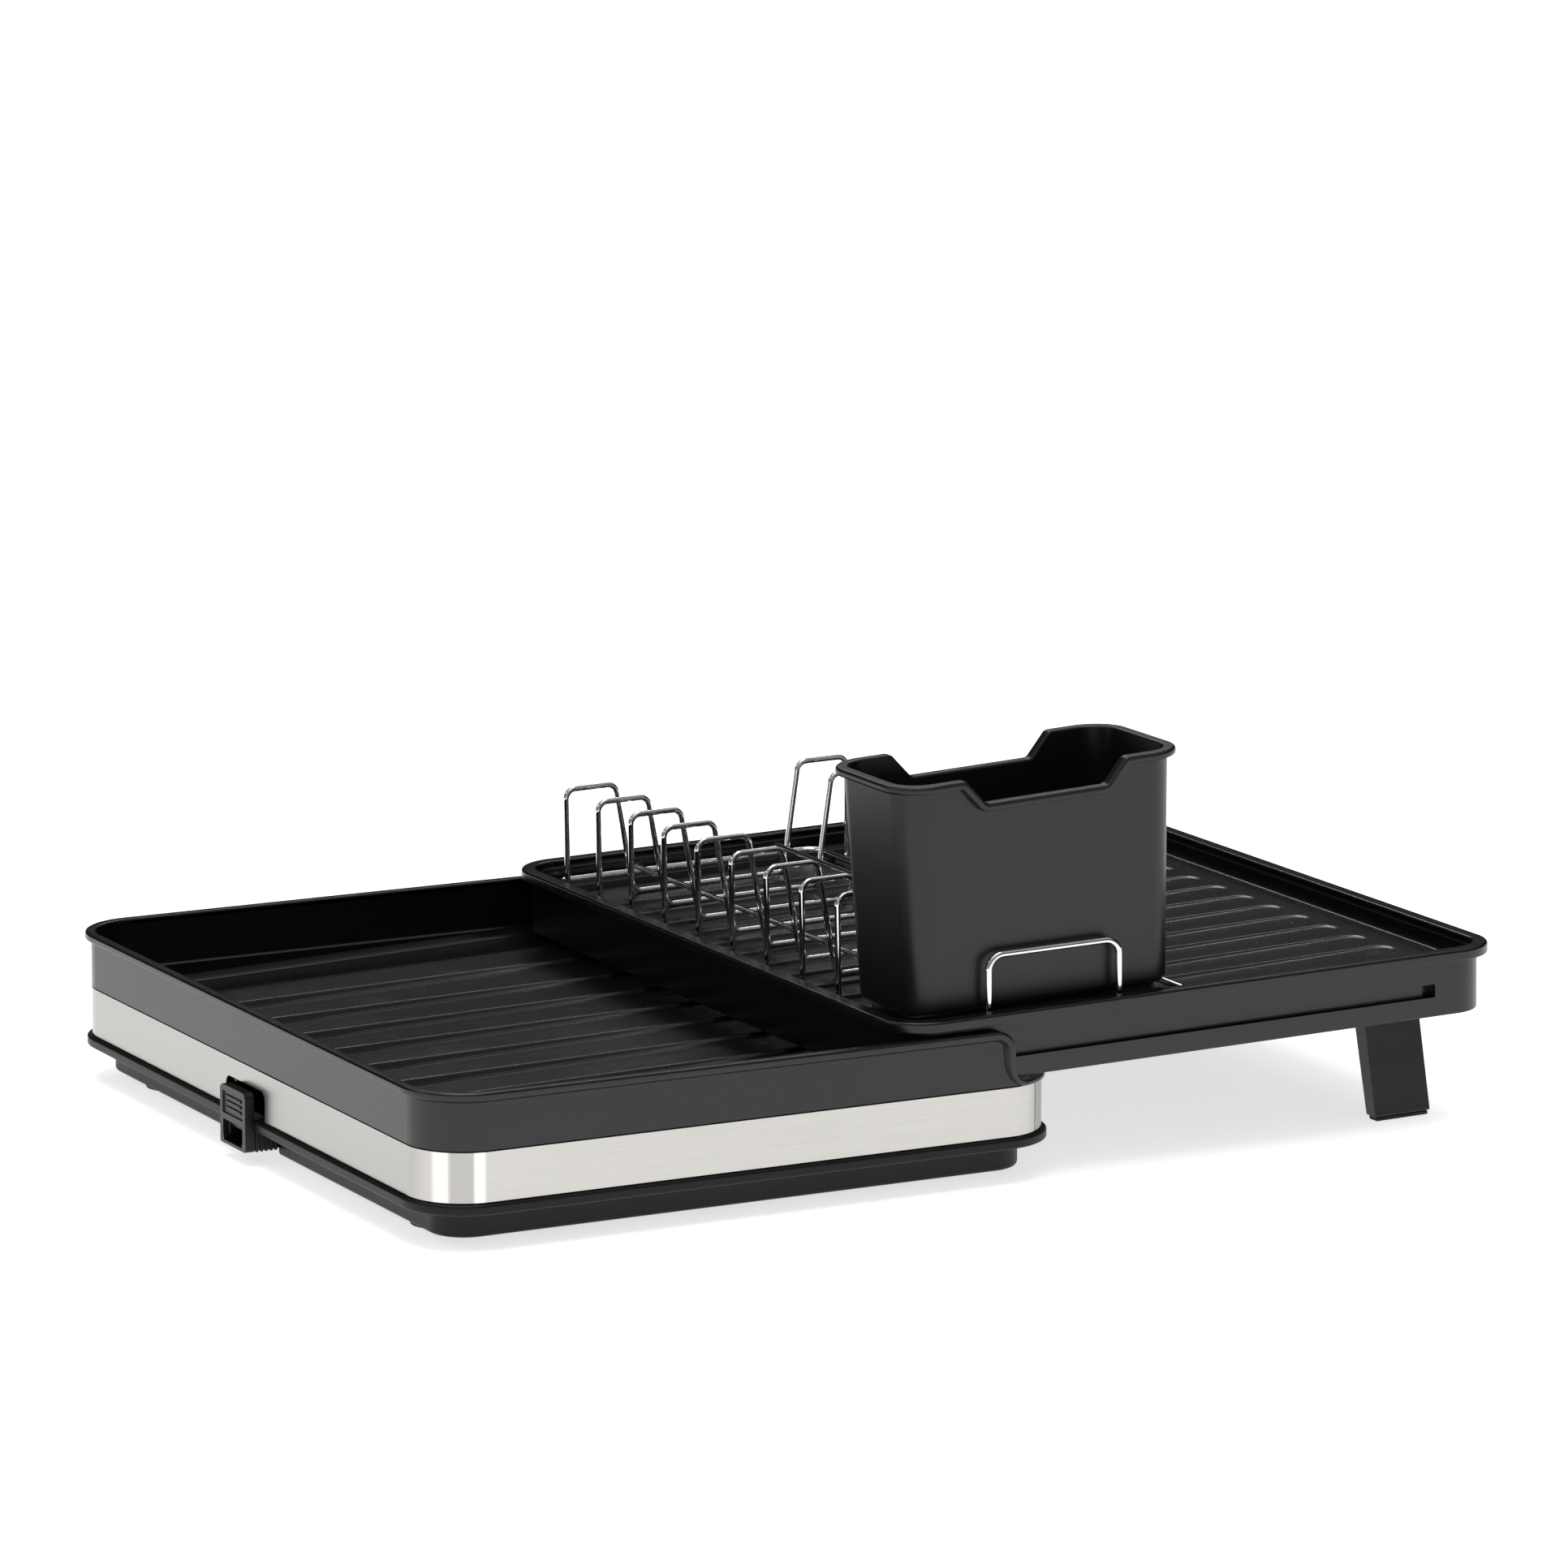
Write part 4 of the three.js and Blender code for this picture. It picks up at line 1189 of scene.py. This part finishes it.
@dataclass(frozen=True)
class DrainSpout:
    """The push-in drain spout: a framed plate over an outlet window, and a ringed neck."""

    face: float = -6.0
    thickness: float = 4.3
    width: float = 26.0
    bottom: float = 5.9
    top: float = 31.6
    window: tuple[float, float] = (8.9, 16.5)
    panel: tuple[float, float] = (19.2, 28.9)
    neck_half: float = 11.0
    neck_top: float = 14.8
    neck_end: float = 24.0
    grips: int = 3
    grip_pitch: float = 2.5
    rings: int = 5
    ring_pitch: float = 2.2
    bar: float = 1.2

    def ring_bars(self) -> list[tuple[Spot, Spot]]:
        """Return the low and high (y, z) corners of the three bars of a ring round the neck."""
        middle, half, low, high = BASIN_PLAN.middle, self.neck_half, self.bottom - 0.4, self.neck_top + 0.25
        return [
            ((middle - half - 0.8, low), (middle - half + 0.6, high)),
            ((middle + half - 0.6, low), (middle + half + 0.8, high)),
            ((middle - half, low), (middle + half, self.bottom + 0.5)),
        ]

    def build(self) -> None:
        """Build the spout."""
        frame = counter_frame()
        middle = BASIN_PLAN.middle
        half = self.width / 2
        back = self.face + self.thickness
        plate = Shell(frame)
        outline = rounded([
            (middle - half, self.bottom, 1.2), (middle + half, self.bottom, 1.2),
            (middle + half, self.top, 3.0), (middle - half, self.top, 3.0),
        ], 5)
        plate.prism(outline, seen_from_left, self.face, back)
        spout = plate.bare("drain_spout_skin")
        neck = Shell(frame)
        neck.block((back - 1, middle - self.neck_half, self.bottom + 0.1),
                   (self.neck_end, middle + self.neck_half, self.neck_top), 0.8, 2)
        carve(spout, neck.bare("tool"), operation="UNION")
        outside = self.face - 2
        carve(
            spout,
            box_tool(frame, (outside, middle - 10, self.window[0]),
                     (back - 1.2, middle + 10, self.window[1]), 0.5),
            box_tool(frame, (outside, middle - 9.4, 7.3), (self.neck_end - 2, middle + 9.4, 13.6), 0.3),
            box_tool(frame, (outside, middle - half + 2.6, self.panel[0]),
                     (self.face + 0.8, middle + half - 2.6, self.panel[1]), 0.4),
            round_tool(frame, Vector((DRAIN_X, middle, 12)), DRAIN_RADIUS, 6),
        )
        extra = Shell(frame)
        for k in range(self.grips):
            z = self.panel[0] + 2.1 + self.grip_pitch * k
            extra.block((self.face + 0.15, middle - half + 5.4, z),
                        (self.face + 1.6, middle + half - 5.4, z + self.bar), 0.35, 3)
        for k in range(self.rings):
            x = back + 1.2 + self.ring_pitch * k
            for low, high in self.ring_bars():
                extra.block((x, *low), (x + self.bar, *high), 0.3, 2)
        bevel = spout.modifiers.new("softened_edges", "BEVEL")
        bevel.width = 0.35 * MM
        bevel.segments = 3
        bevel.limit_method = "ANGLE"
        settle(spout)
        merge(spout, extra.bare("drain_spout_ribs"))
        finish_piece(spout, SPOUT_PLASTIC, Body.SPOUT, ["drain_spout"], 40)


@dataclass(frozen=True)
class GuidePins:
    """The two pins in the basin's long walls that run in the tray's grooves."""

    x: float = 256.0
    z: float = 56.17
    radius: float = 2.2
    sunk: float = 1.1
    reach: float = 6.55

    def build(self) -> None:
        """Build both pins."""
        r = self.radius
        for word, at, way in (("front", 0.0, 1.0), ("rear", BASIN_PLAN.y1, -1.0)):
            pin = Shell(counter_frame())
            pin.turned([
                (0, self.sunk), (r, self.sunk), (r, self.reach - 0.5), (r - 0.15, self.reach - 0.2),
                (r - 0.5, self.reach), (0, self.reach),
            ], Vector((self.x, at, self.z)), Vector((0, way, 0)), 32)
            pin.piece(f"pin_{word}", PIN_PLASTIC, Body.PINS, [f"guide_pin_{word}"])


# ------------------------------------------------------------------------------ drainer tray


TRAY_PLAN = Plan(4.65, 294.55, 3.45, 369.55, 16.85)


@dataclass(frozen=True)
class DrainerTray:
    """The sliding tray: flanged rim, walls with a long groove each, and a channelled floor."""

    overhang: float = 4.65
    rim_height: float = 4.8
    wall: float = 2.2
    skirt: float = 29.4
    channel_pitch: float = 23.7
    channel_end: float = 277.0
    channel_step: float = 0.5
    channel_fall: float = 0.0075
    level: Fall = Fall(-13.2, 0.0105)
    groove: tuple[float, float, float, float] = (38.8, 265.6, -20.7, -14.9)
    groove_depth: float = 3.4
    drain: Spot = (13.0, 4.5)
    leg_x: float = 261.3
    hinge_y: float = 38.4
    hinge_z: float = -24.25
    pin_radius: float = 1.5
    pin_half: float = 17.7

    def build(self) -> None:
        """Build the tray."""
        frame = TRAY_PLACE.matrix()
        shell = Shell(frame)
        shell.ring(TRAY_PLAN.outline(14), rounded([
            (0, -self.skirt, 0.6), (0, -0.9, 0), (-self.wall, -0.9, 0), (-self.wall, -3.1, 0.25),
            (-self.wall - 0.6, -3.7, 0.3), (-self.wall - 0.6, -self.skirt, 0.6),
        ], 3))
        walls = shell.bare("upper_tray_skin")
        backing = Shell(frame)
        x0, x1, low, high = self.groove
        for start, end in self.sides(1.0, 6.2):
            backing.block((x0 - 20, start, low - 2.2), (x1 + 12, end, high + 2.0), 0.3)
        carve(walls, backing.bare("tool"), operation="UNION")
        for start, end in self.sides(-2.0, self.groove_depth):
            carve(walls, box_tool(frame, (x0, start, low), (x1, end, high), 0.35))
        for start, end in self.sides(1.0, self.groove_depth + 1.8):
            carve(walls, box_tool(frame, (x1 - 4.6, start, low + 0.2), (x1 - 0.1, end, high - 0.2)))
        rest = Shell(frame)
        self.rim(rest)
        self.floor().add_to(rest)
        self.ears(rest)
        extra = rest.bare("upper_tray_rest")
        carve(extra, round_tool(frame, Vector((self.drain[0], TRAY_PLAN.middle, -30)), self.drain[1], 40))
        merge(walls, extra)
        finish_piece(walls, TRAY_PLASTIC, Body.TRAY, ["upper_tray"], 38)
        self.pins(frame)

    def sides(self, near: float, far: float) -> list[Spot]:
        """Return the y ranges of a slab at both long walls, by its depth into the wall."""
        front, rear = TRAY_PLAN.y0, TRAY_PLAN.y1
        return [(front + near, front + far), (rear - far, rear - near)]

    def rim(self, shell: Shell) -> None:
        """Add the rim: a flat flange with a hanging lip."""
        lip = self.overhang - 1.6
        shell.ring(TRAY_PLAN.outline(18), rounded([
            (self.overhang, -self.rim_height, 0.5), (self.overhang, 0, 1.3), (-self.wall, 0, 1.0),
            (-self.wall, -1.9, 0), (lip, -1.9, 0.3), (lip, -self.rim_height, 0.4),
        ], 5))

    def floor(self) -> RibbedFloor:
        """Return the floor with its sunk channels, which fade out near the right end."""
        middle = TRAY_PLAN.middle
        rows = [(k + 0.5) * self.channel_pitch for k in range(-6, 6)]
        end = self.channel_end
        return RibbedFloor(
            plan=TRAY_PLAN.inset(1.2), strips=tuple(FloorStrip(middle + y, 6.4, 6.8, 14, end) for y in rows),
            level=self.level, strip_level=self.channel_level,
            edge=1.8, fillet=3.0, wall=TRAY_PLAN.inset(self.wall + 0.6), thickness=4.2,
            highest=lambda x: -3.9,
        )

    def channel_level(self, x: float) -> float:
        """Return the height of the channels' bottoms at x."""
        return self.level(x) - self.channel_step - self.channel_fall * (self.channel_end - x)

    def ears(self, shell: Shell) -> None:
        """Add the two pairs of hinge ears under the floor."""
        for y in (self.hinge_y, BASIN_PLAN.y1 - self.hinge_y):
            for side in (-1, 1):
                x = self.leg_x + side * 15.8
                outline = rounded([(y - 5, self.hinge_z - 4.5, 4.4), (y + 5, self.hinge_z - 4.5, 4.4),
                                   (y + 7, -15, 0), (y - 7, -15, 0)], 5)
                shell.prism(outline, seen_from_left, x - 1.5, x + 1.5)

    def pins(self, frame: Matrix) -> None:
        """Build the two steel hinge pins."""
        for word, y in (("front", self.hinge_y), ("rear", BASIN_PLAN.y1 - self.hinge_y)):
            pin = Shell(frame)
            r, half = self.pin_radius, self.pin_half
            pin.turned([
                (0, -half), (r - 0.4, -half), (r, -half + 0.4), (r, half - 0.4), (r - 0.4, half), (0, half),
            ], Vector((self.leg_x, y, self.hinge_z)), Vector((1, 0, 0)), 24)
            pin.piece(f"hinge_pin_{word}", AXLE_STEEL, Body.TRAY, [f"leg_pin_{word}"])


@dataclass(frozen=True)
class FoldingLeg:
    """One of the two legs that fold in under the tray, with its rubber pad."""

    word: str
    body: Body
    side: int
    width: float = 28.0
    thick: float = 9.4
    tip: float = 7.6
    lean: float = 13.1
    height: float = 54.0
    pad: float = 1.5
    play: float = 0.27

    def frame(self) -> Matrix:
        """Return the standing leg's own frame, with the hinge at its origin."""
        tray = DrainerTray()
        y = tray.hinge_y if self.side > 0 else BASIN_PLAN.y1 - tray.hinge_y
        return (TRAY_PLACE.matrix() @ Matrix.Translation((tray.leg_x, y, tray.hinge_z))
                @ Matrix.Rotation(-self.side * math.radians(self.lean), 4, "X"))

    def foot_line(self, y: float, above: float) -> float:
        """Return the z on the leg that stands at a height above the counter."""
        lean = math.radians(self.lean)
        return (above + self.play - self.height + self.side * y * math.sin(lean)) / math.cos(lean)

    def strip(self, shell: Shell, half: float, slimmer: float, low: float, high: float | None) -> None:
        """Add a bevelled slice of the leg between two heights above the counter."""
        tip = (self.tip - slimmer) / 2
        head = self.thick / 2
        if high is None:
            outline = rounded([
                (-tip, self.foot_line(-tip, low), 0.7), (tip, self.foot_line(tip, low), 0.7),
                (head, 0, 0.0), (head, 4.6, 4.4), (-head, 4.6, 4.4), (-head, 0, 0.0),
            ], 5)
        else:
            outline = rounded([
                (-tip, self.foot_line(-tip, low), 0.4), (tip, self.foot_line(tip, low), 0.4),
                (tip, self.foot_line(tip, high), 0.2), (-tip, self.foot_line(-tip, high), 0.2),
            ], 3)
        soft = 0.5 if high is None else 0.25
        middle = Vector((sum(a for a, _ in outline), sum(b for _, b in outline), 0)) / len(outline)
        steps = [(0.0, soft), (soft * 0.3, soft * 0.3), (soft, 0.0)]
        rings = []
        for inward, shrink in steps:
            rings.append(self.slice(outline, middle, -half + inward, shrink))
        for inward, shrink in reversed(steps):
            rings.append(self.slice(outline, middle, half - inward, shrink))
        shell.loops(rings, closed=False)

    def slice(self, outline: Sequence[Spot], middle: Vector, x: float, shrink: float) -> list[Vector]:
        """Return the outline at x, drawn in towards its middle."""
        ring = []
        for a, b in outline:
            toward = Vector((middle.x - a, max(min(middle.y - b, 4), -4)))
            spot = Vector((a, b)) + toward.normalized() * shrink
            ring.append(Vector((x, spot.x, spot.y)))
        return ring

    def build(self) -> None:
        """Build the leg and its pad."""
        leg = Shell(self.frame())
        self.strip(leg, self.width / 2, 0.0, self.pad + 0.3, None)
        leg.piece(f"folding_leg_{self.word}", LEG_PLASTIC, self.body, [f"leg_{self.word}"], 32)
        pad = Shell(self.frame())
        self.strip(pad, self.width / 2 - 1, 1.4, 0.0, self.pad)
        pad.piece(f"pad_{self.word}", PAD_RUBBER, self.body, [f"leg_pad_{self.word}"], 32)


# ------------------------------------------------------------------------------ wire rack


@dataclass(frozen=True)
class WireRack:
    """The chrome plate rack: a base frame, nine hooped dividers, two rails and the holder's loop."""

    wire: float = 1.3
    frame_wire: float = 1.7
    loop_wire: float = 1.52
    left: float = 227.9
    right: float = 371.9
    front: float = 10.0
    rear: float = 361.0
    first: float = 78.6
    pitch: float = 32.4
    count: int = 9
    top_width: float = 24.9
    lean: float = 8.6
    top: float = 39.3
    low: float = -11.6
    frame_z: float = -8.2
    rail_z: float = 0.3
    loop: Spot = (262.6, 325.8)
    loop_top: float = 22.6

    @property
    def inner(self) -> float:
        """Return how far the base frame's wire lies inside the hoops' outer legs."""
        return self.wire + self.frame_wire + 0.3

    def x(self, counter_x: float) -> float:
        """Return a counter x in the tray frame."""
        return counter_x - TRAY_PLACE.left

    def build(self) -> None:
        """Build every wire of the rack and its caps."""
        frame = TRAY_PLACE.matrix()
        self.base_frame(frame)
        for k in range(self.count):
            y = self.first + self.pitch * (self.count - 1 - k)
            self.divider(frame, k + 1, y)
        self.rails(frame)
        self.holder_loop(frame)
        self.caps(frame)

    def base_frame(self, frame: Matrix) -> None:
        """Build the base frame, one ring of thicker wire."""
        x0, x1 = self.x(self.left) + self.inner, self.x(self.right) - self.inner
        middle = (x0 + x1) / 2
        spots = [(middle, self.front), (x1, self.front), (x1, self.rear), (x0, self.rear), (x0, self.front),
                 (middle, self.front)]
        path = bent([Vector((x, y, self.frame_z)) for x, y in spots], 9, 10)[:-1]
        shell = Shell(frame)
        shell.wire(path, self.frame_wire, 20, closed=True)
        shell.piece("rack_base_wire", WIRE_CHROME, Body.RACK, ["rack_frame"])

    def divider(self, frame: Matrix, number: int, y: float) -> None:
        """Build one divider: a hoop at each side and the run between them."""
        x0, x1 = self.x(self.left), self.x(self.right)
        inset = self.top_width + self.lean
        spots = [
            (x0, self.low - 0.4), (x0, self.top), (x0 + self.top_width, self.top), (x0 + inset, self.low),
            (x1 - inset, self.low), (x1 - self.top_width, self.top), (x1, self.top), (x1, self.low - 0.4),
        ]
        path = bent([Vector((x, y, z)) for x, z in spots], 4.6, 8)
        shell = Shell(frame)
        shell.wire(path, self.wire, 16)
        shell.piece(f"divider_wire_{number}", WIRE_CHROME, Body.RACK, [f"rack_divider_{number}"])

    def rails(self, frame: Matrix) -> None:
        """Build the two rails that tie the hoops' inner legs."""
        share = (self.rail_z - self.low) / (self.top - self.low)
        reach = self.top_width + self.lean * (1 - share) + 2 * self.wire + 0.05
        last = self.first + self.pitch * (self.count - 1)
        for word, x in (("left", self.x(self.left) + reach), ("right", self.x(self.right) - reach)):
            shell = Shell(frame)
            ends = [Vector((x, self.first - 5, self.rail_z)), Vector((x, last + 5, self.rail_z))]
            shell.wire([ends[0].lerp(ends[1], k / 8) for k in range(9)], self.wire, 16)
            shell.piece(f"rail_wire_{word}", WIRE_CHROME, Body.RACK, [f"rack_rail_{word}"])

    def holder_loop(self, frame: Matrix) -> None:
        """Build the loop that keeps the cutlery holder in."""
        x0, x1 = self.x(self.loop[0]), self.x(self.loop[1])
        foot = self.frame_z + self.frame_wire + 0.1
        spots = [(x0, foot), (x0, self.loop_top), (x1, self.loop_top), (x1, foot)]
        shell = Shell(frame)
        shell.wire(bent([Vector((x, self.front, z)) for x, z in spots], 6.8, 10), self.loop_wire, 20)
        shell.piece("loop_wire", WIRE_CHROME, Body.RACK, ["holder_loop"])

    def caps(self, frame: Matrix) -> None:
        """Build the four caps that keep the wire off the tray."""
        depth = 2.7
        profile = [
            (0, -depth), (2.2, -depth), (2.8, -depth + 0.4), (3, -depth + 1), (3, -0.5), (2.6, 0), (0, 0),
        ]
        top = self.frame_z - self.frame_wire - 0.2
        left, right = self.x(self.left) + self.inner, self.x(self.right) - self.inner
        for end, y in (("front", self.front + 14), ("rear", self.rear - 12)):
            for side, x in (("left", left), ("right", right)):
                cap = Shell(frame)
                cap.turned(profile, Vector((x, y, top)), Vector((0, 0, 1)), 24)
                cap.piece(f"cap_{end}_{side}", CAP_RUBBER, Body.RACK, [f"rack_cap_{end}_{side}"])


# ------------------------------------------------------------------------------ cutlery holder


HOLDER_PLAN = Plan(-66.15, 66.15, -32.0, 32.0, 13.8)


@dataclass(frozen=True)
class CutleryHolder:
    """The cutlery holder: a deep drafted cup, its lip dipping in both long sides."""

    x: float = 288.75
    y: float = 43.6
    rim: float = 174.3
    tilt: float = 0.046
    height: float = 102.0
    draft: float = 3.69
    wall: float = 2.0
    lip: float = 3.6
    dip_low: float = 58.0
    dip_high: float = 77.0
    dip_depth: float = 10.8
    foot: float = 8.0
    hole_rows: tuple[float, ...] = (-40.0, -20.0, 0.0, 20.0, 40.0)
    hole_side: float = 11.0

    def frame(self) -> Matrix:
        """Return the holder's own frame, with the middle of its rim at the origin."""
        return (counter_frame() @ Matrix.Translation((self.x, self.y, self.rim))
                @ Matrix.Rotation(-self.tilt, 4, "Y"))

    def build(self) -> None:
        """Build the holder."""
        shell = Shell(self.frame())
        low = -self.height
        shell.ring(HOLDER_PLAN.outline(14), rounded([
            (-self.draft, low, 3.6), (0, -0.8, 0), (-self.wall, -0.8, 0), (-self.wall - 3.6, low + 2.4, 3.0),
            (-12.5, low + 2.4, 0), (-12.5, low - self.foot, 0), (-8.3, low - self.foot, 0.9),
            (-8.3, low, 0.8),
        ], 6))
        cup = shell.bare("cutlery_holder_skin")
        carve(cup, self.dip_tool())
        rest = Shell(self.frame())
        stops = edge_stops(HOLDER_PLAN, self.edge_corners(), lambda z: 1.0)
        section = rounded([
            (self.lip, -3.3, 1.0), (self.lip, 0, 1.5), (-self.wall, 0, 1.0), (-self.wall, -2.6, 0.5),
            (0.1, -3.9, 0),
        ], 4)
        rest.loops(rim_rings(HOLDER_PLAN, stops, section), closed=True)
        plate = [(s.x, s.y) for s in HOLDER_PLAN.inset(11.5).outline(6)]
        rest.prism(plate, seen_from_above, low - self.foot, low - 5.8)
        extra = rest.bare("cutlery_holder_rest")
        for x in self.hole_rows:
            for y in (-self.hole_side, self.hole_side):
                carve(extra, round_tool(self.frame(), Vector((x, y, low - 12)), 3, 10))
        merge(cup, extra)
        finish_piece(cup, HOLDER_PLASTIC, Body.HOLDER, ["cutlery_holder"], 38)

    def edge_corners(self) -> list[Corner]:
        """Return the corners of the lip's edge over the front half, drawn flat."""
        plan = HOLDER_PLAN
        centre = plan.half_length / 2
        bend = 3.2
        return [
            (0, 0, 0), (centre - self.dip_high / 2, 0, bend),
            (centre - self.dip_low / 2, -self.dip_depth, bend),
            (centre + self.dip_low / 2, -self.dip_depth, bend),
            (centre + self.dip_high / 2, 0, bend), (plan.half_length, 0, 0),
        ]

    def dip_tool(self) -> bpy.types.Object:
        """Return a tool that opens the dips below the lip's edge."""
        into = 1.0
        top, foot = self.dip_high / 2 + into, self.dip_low / 2 + into * 0.4
        outline = rounded([
            (-top - 0.8, 8, 0), (-top, -into * 0.4, 1.5), (-foot, -self.dip_depth - into, 3.6),
            (foot, -self.dip_depth - into, 3.6), (top, -into * 0.4, 1.5), (top + 0.8, 8, 0),
        ], 5)
        tool = Shell(self.frame())
        tool.prism(outline, seen_from_front, -50, 50)
        return tool.bare("tool")


# ------------------------------------------------------------------------------ studio


@dataclass(frozen=True)
class Studio:
    """The camera, the pale floor and the soft light."""

    azimuth: float = -27.942
    elevation: float = 11.221
    roll: float = 0.155
    lens: float = 181.2
    place: Corner = (-1580.5, -2989.1, 810.5)
    floor_glow: float = 0.7
    sky: float = 0.36
    overhead: float = 3.4

    def camera(self) -> None:
        """Create the camera."""
        data = bpy.data.cameras.new("studio_camera")
        data.lens = self.lens
        data.sensor_width = 36.0
        data.clip_end = 100.0
        made = bpy.data.objects.new("studio_camera", data)
        bpy.context.scene.collection.objects.link(made)
        a, e = math.radians(self.azimuth), math.radians(self.elevation)
        back = Vector((math.sin(a) * math.cos(e), -math.cos(a) * math.cos(e), math.sin(e)))
        turn = back.to_track_quat("Z", "Y").to_matrix().to_4x4()
        roll = Matrix.Rotation(math.radians(self.roll), 4, "Z")
        made.matrix_world = Matrix.Translation(Vector(self.place) * MM) @ turn @ roll
        bpy.context.scene.camera = made

    def floor(self) -> None:
        """Create the pale floor."""
        mesh = bpy.data.meshes.new("studio_floor")
        reach = 40.0
        mesh.from_pydata([(-reach, -reach, 0), (reach, -reach, 0), (reach, reach, 0), (-reach, reach, 0)], [],
                         [(0, 1, 2, 3)])
        made = bpy.data.objects.new("studio_floor", mesh)
        made.location.z = -0.0002
        bpy.context.scene.collection.objects.link(made)
        paint = bpy.data.materials.new("studio_floor_paint")
        paint.use_nodes = True
        graph = Graph(paint.node_tree)
        cloud = graph.noise((2, 2, 2), 2)
        colour = graph.blend(graph.band(cloud, 0.3, 0.7), (0.93, 0.93, 0.93), (0.94, 0.94, 0.94))
        shader = graph.node("ShaderNodeBsdfPrincipled", None, {
            "Base Color": colour, "Roughness": 0.9, "Specular IOR Level": 0.1,
            "Emission Color": (1, 1, 1, 1), "Emission Strength": self.floor_glow,
        })
        graph.node("ShaderNodeOutputMaterial", None, {"Surface": shader.outputs[0]})
        mesh.materials.append(paint)

    def world(self) -> None:
        """Create the surrounding light: bright, with darker sectors above the horizon."""
        world = bpy.data.worlds.new("studio_world")
        bpy.context.scene.world = world
        world.use_nodes = True
        graph = Graph(world.node_tree)
        way = graph.node("ShaderNodeTexCoord").outputs["Generated"]
        parts = graph.node("ShaderNodeSeparateXYZ", None, {0: way})
        x, y, z = (graph.signal(parts, k) for k in range(3))
        rear = graph.band(y * 0.87 + x * 0.46, -0.2, 0.35)
        low = graph.band(z, 0.42, 0.8, 1.0, 0.0) * graph.band(z, -0.02, 0.01)
        front_right = graph.band(x * 0.8 - y * 0.6, 0.6, 0.9) * graph.band(z, 0.5, 0.7, 1.0, 0.0)
        shade = 1.0 - low * rear * 0.97 - (1.0 - rear) * low * (0.25 + front_right * 0.5)
        colour = graph.blend(shade, (0.0, 0.0, 0.0), (1.0, 1.0, 1.0))
        strength = self.sky + graph.band(z, 0.93, 0.97) * self.overhead
        light = graph.node("ShaderNodeBackground", None, {"Color": colour, "Strength": strength})
        graph.node("ShaderNodeOutputWorld", None, {"Surface": light.outputs[0]})

    def lamp(self, name: str, at: Corner, toward: Corner, size: Spot, power: float) -> None:
        """Create a soft box.

        Args:
            name: The lamp's name.
            at: Its place in millimetres.
            toward: The point that it faces.
            size: Its width and height in metres.
            power: Its power in watts.
        """
        data = bpy.data.lights.new(name, "AREA")
        data.shape = "RECTANGLE"
        data.size, data.size_y = size
        data.energy = power
        made = bpy.data.objects.new(name, data)
        bpy.context.scene.collection.objects.link(made)
        start = Vector(at) * MM
        aim = (Vector(toward) * MM - start).to_track_quat("-Z", "Y")
        made.matrix_world = Matrix.Translation(start) @ aim.to_matrix().to_4x4()

    def build(self) -> None:
        """Build the whole studio."""
        self.camera()
        self.floor()
        self.world()
        self.lamp("key_light", (-900, -600, 2200), (0, 0, 60), (1.4, 1.0), 4)
        self.lamp("rear_strip", (900, 1800, 1500), (0, 0, 60), (1.3, 0.2), 7)
        self.lamp("side_strip", (-1900, 500, 1500), (0, 0, 60), (1.0, 0.2), 3)
        bpy.context.scene.view_settings.view_transform = "Standard"


def main() -> None:
    """Load the frame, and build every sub-assembly."""
    logging.basicConfig(level=logging.INFO, format="%(name)s: %(message)s")
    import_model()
    Studio().build()
    DripBasin().build()
    SteelBand().build()
    BasePan().build()
    DrainSpout().build()
    GuidePins().build()
    DrainerTray().build()
    FoldingLeg("front", Body.FRONT_LEG, 1).build()
    FoldingLeg("rear", Body.REAR_LEG, -1).build()
    WireRack().build()
    CutleryHolder().build()


if __name__ == "__main__":
    main()
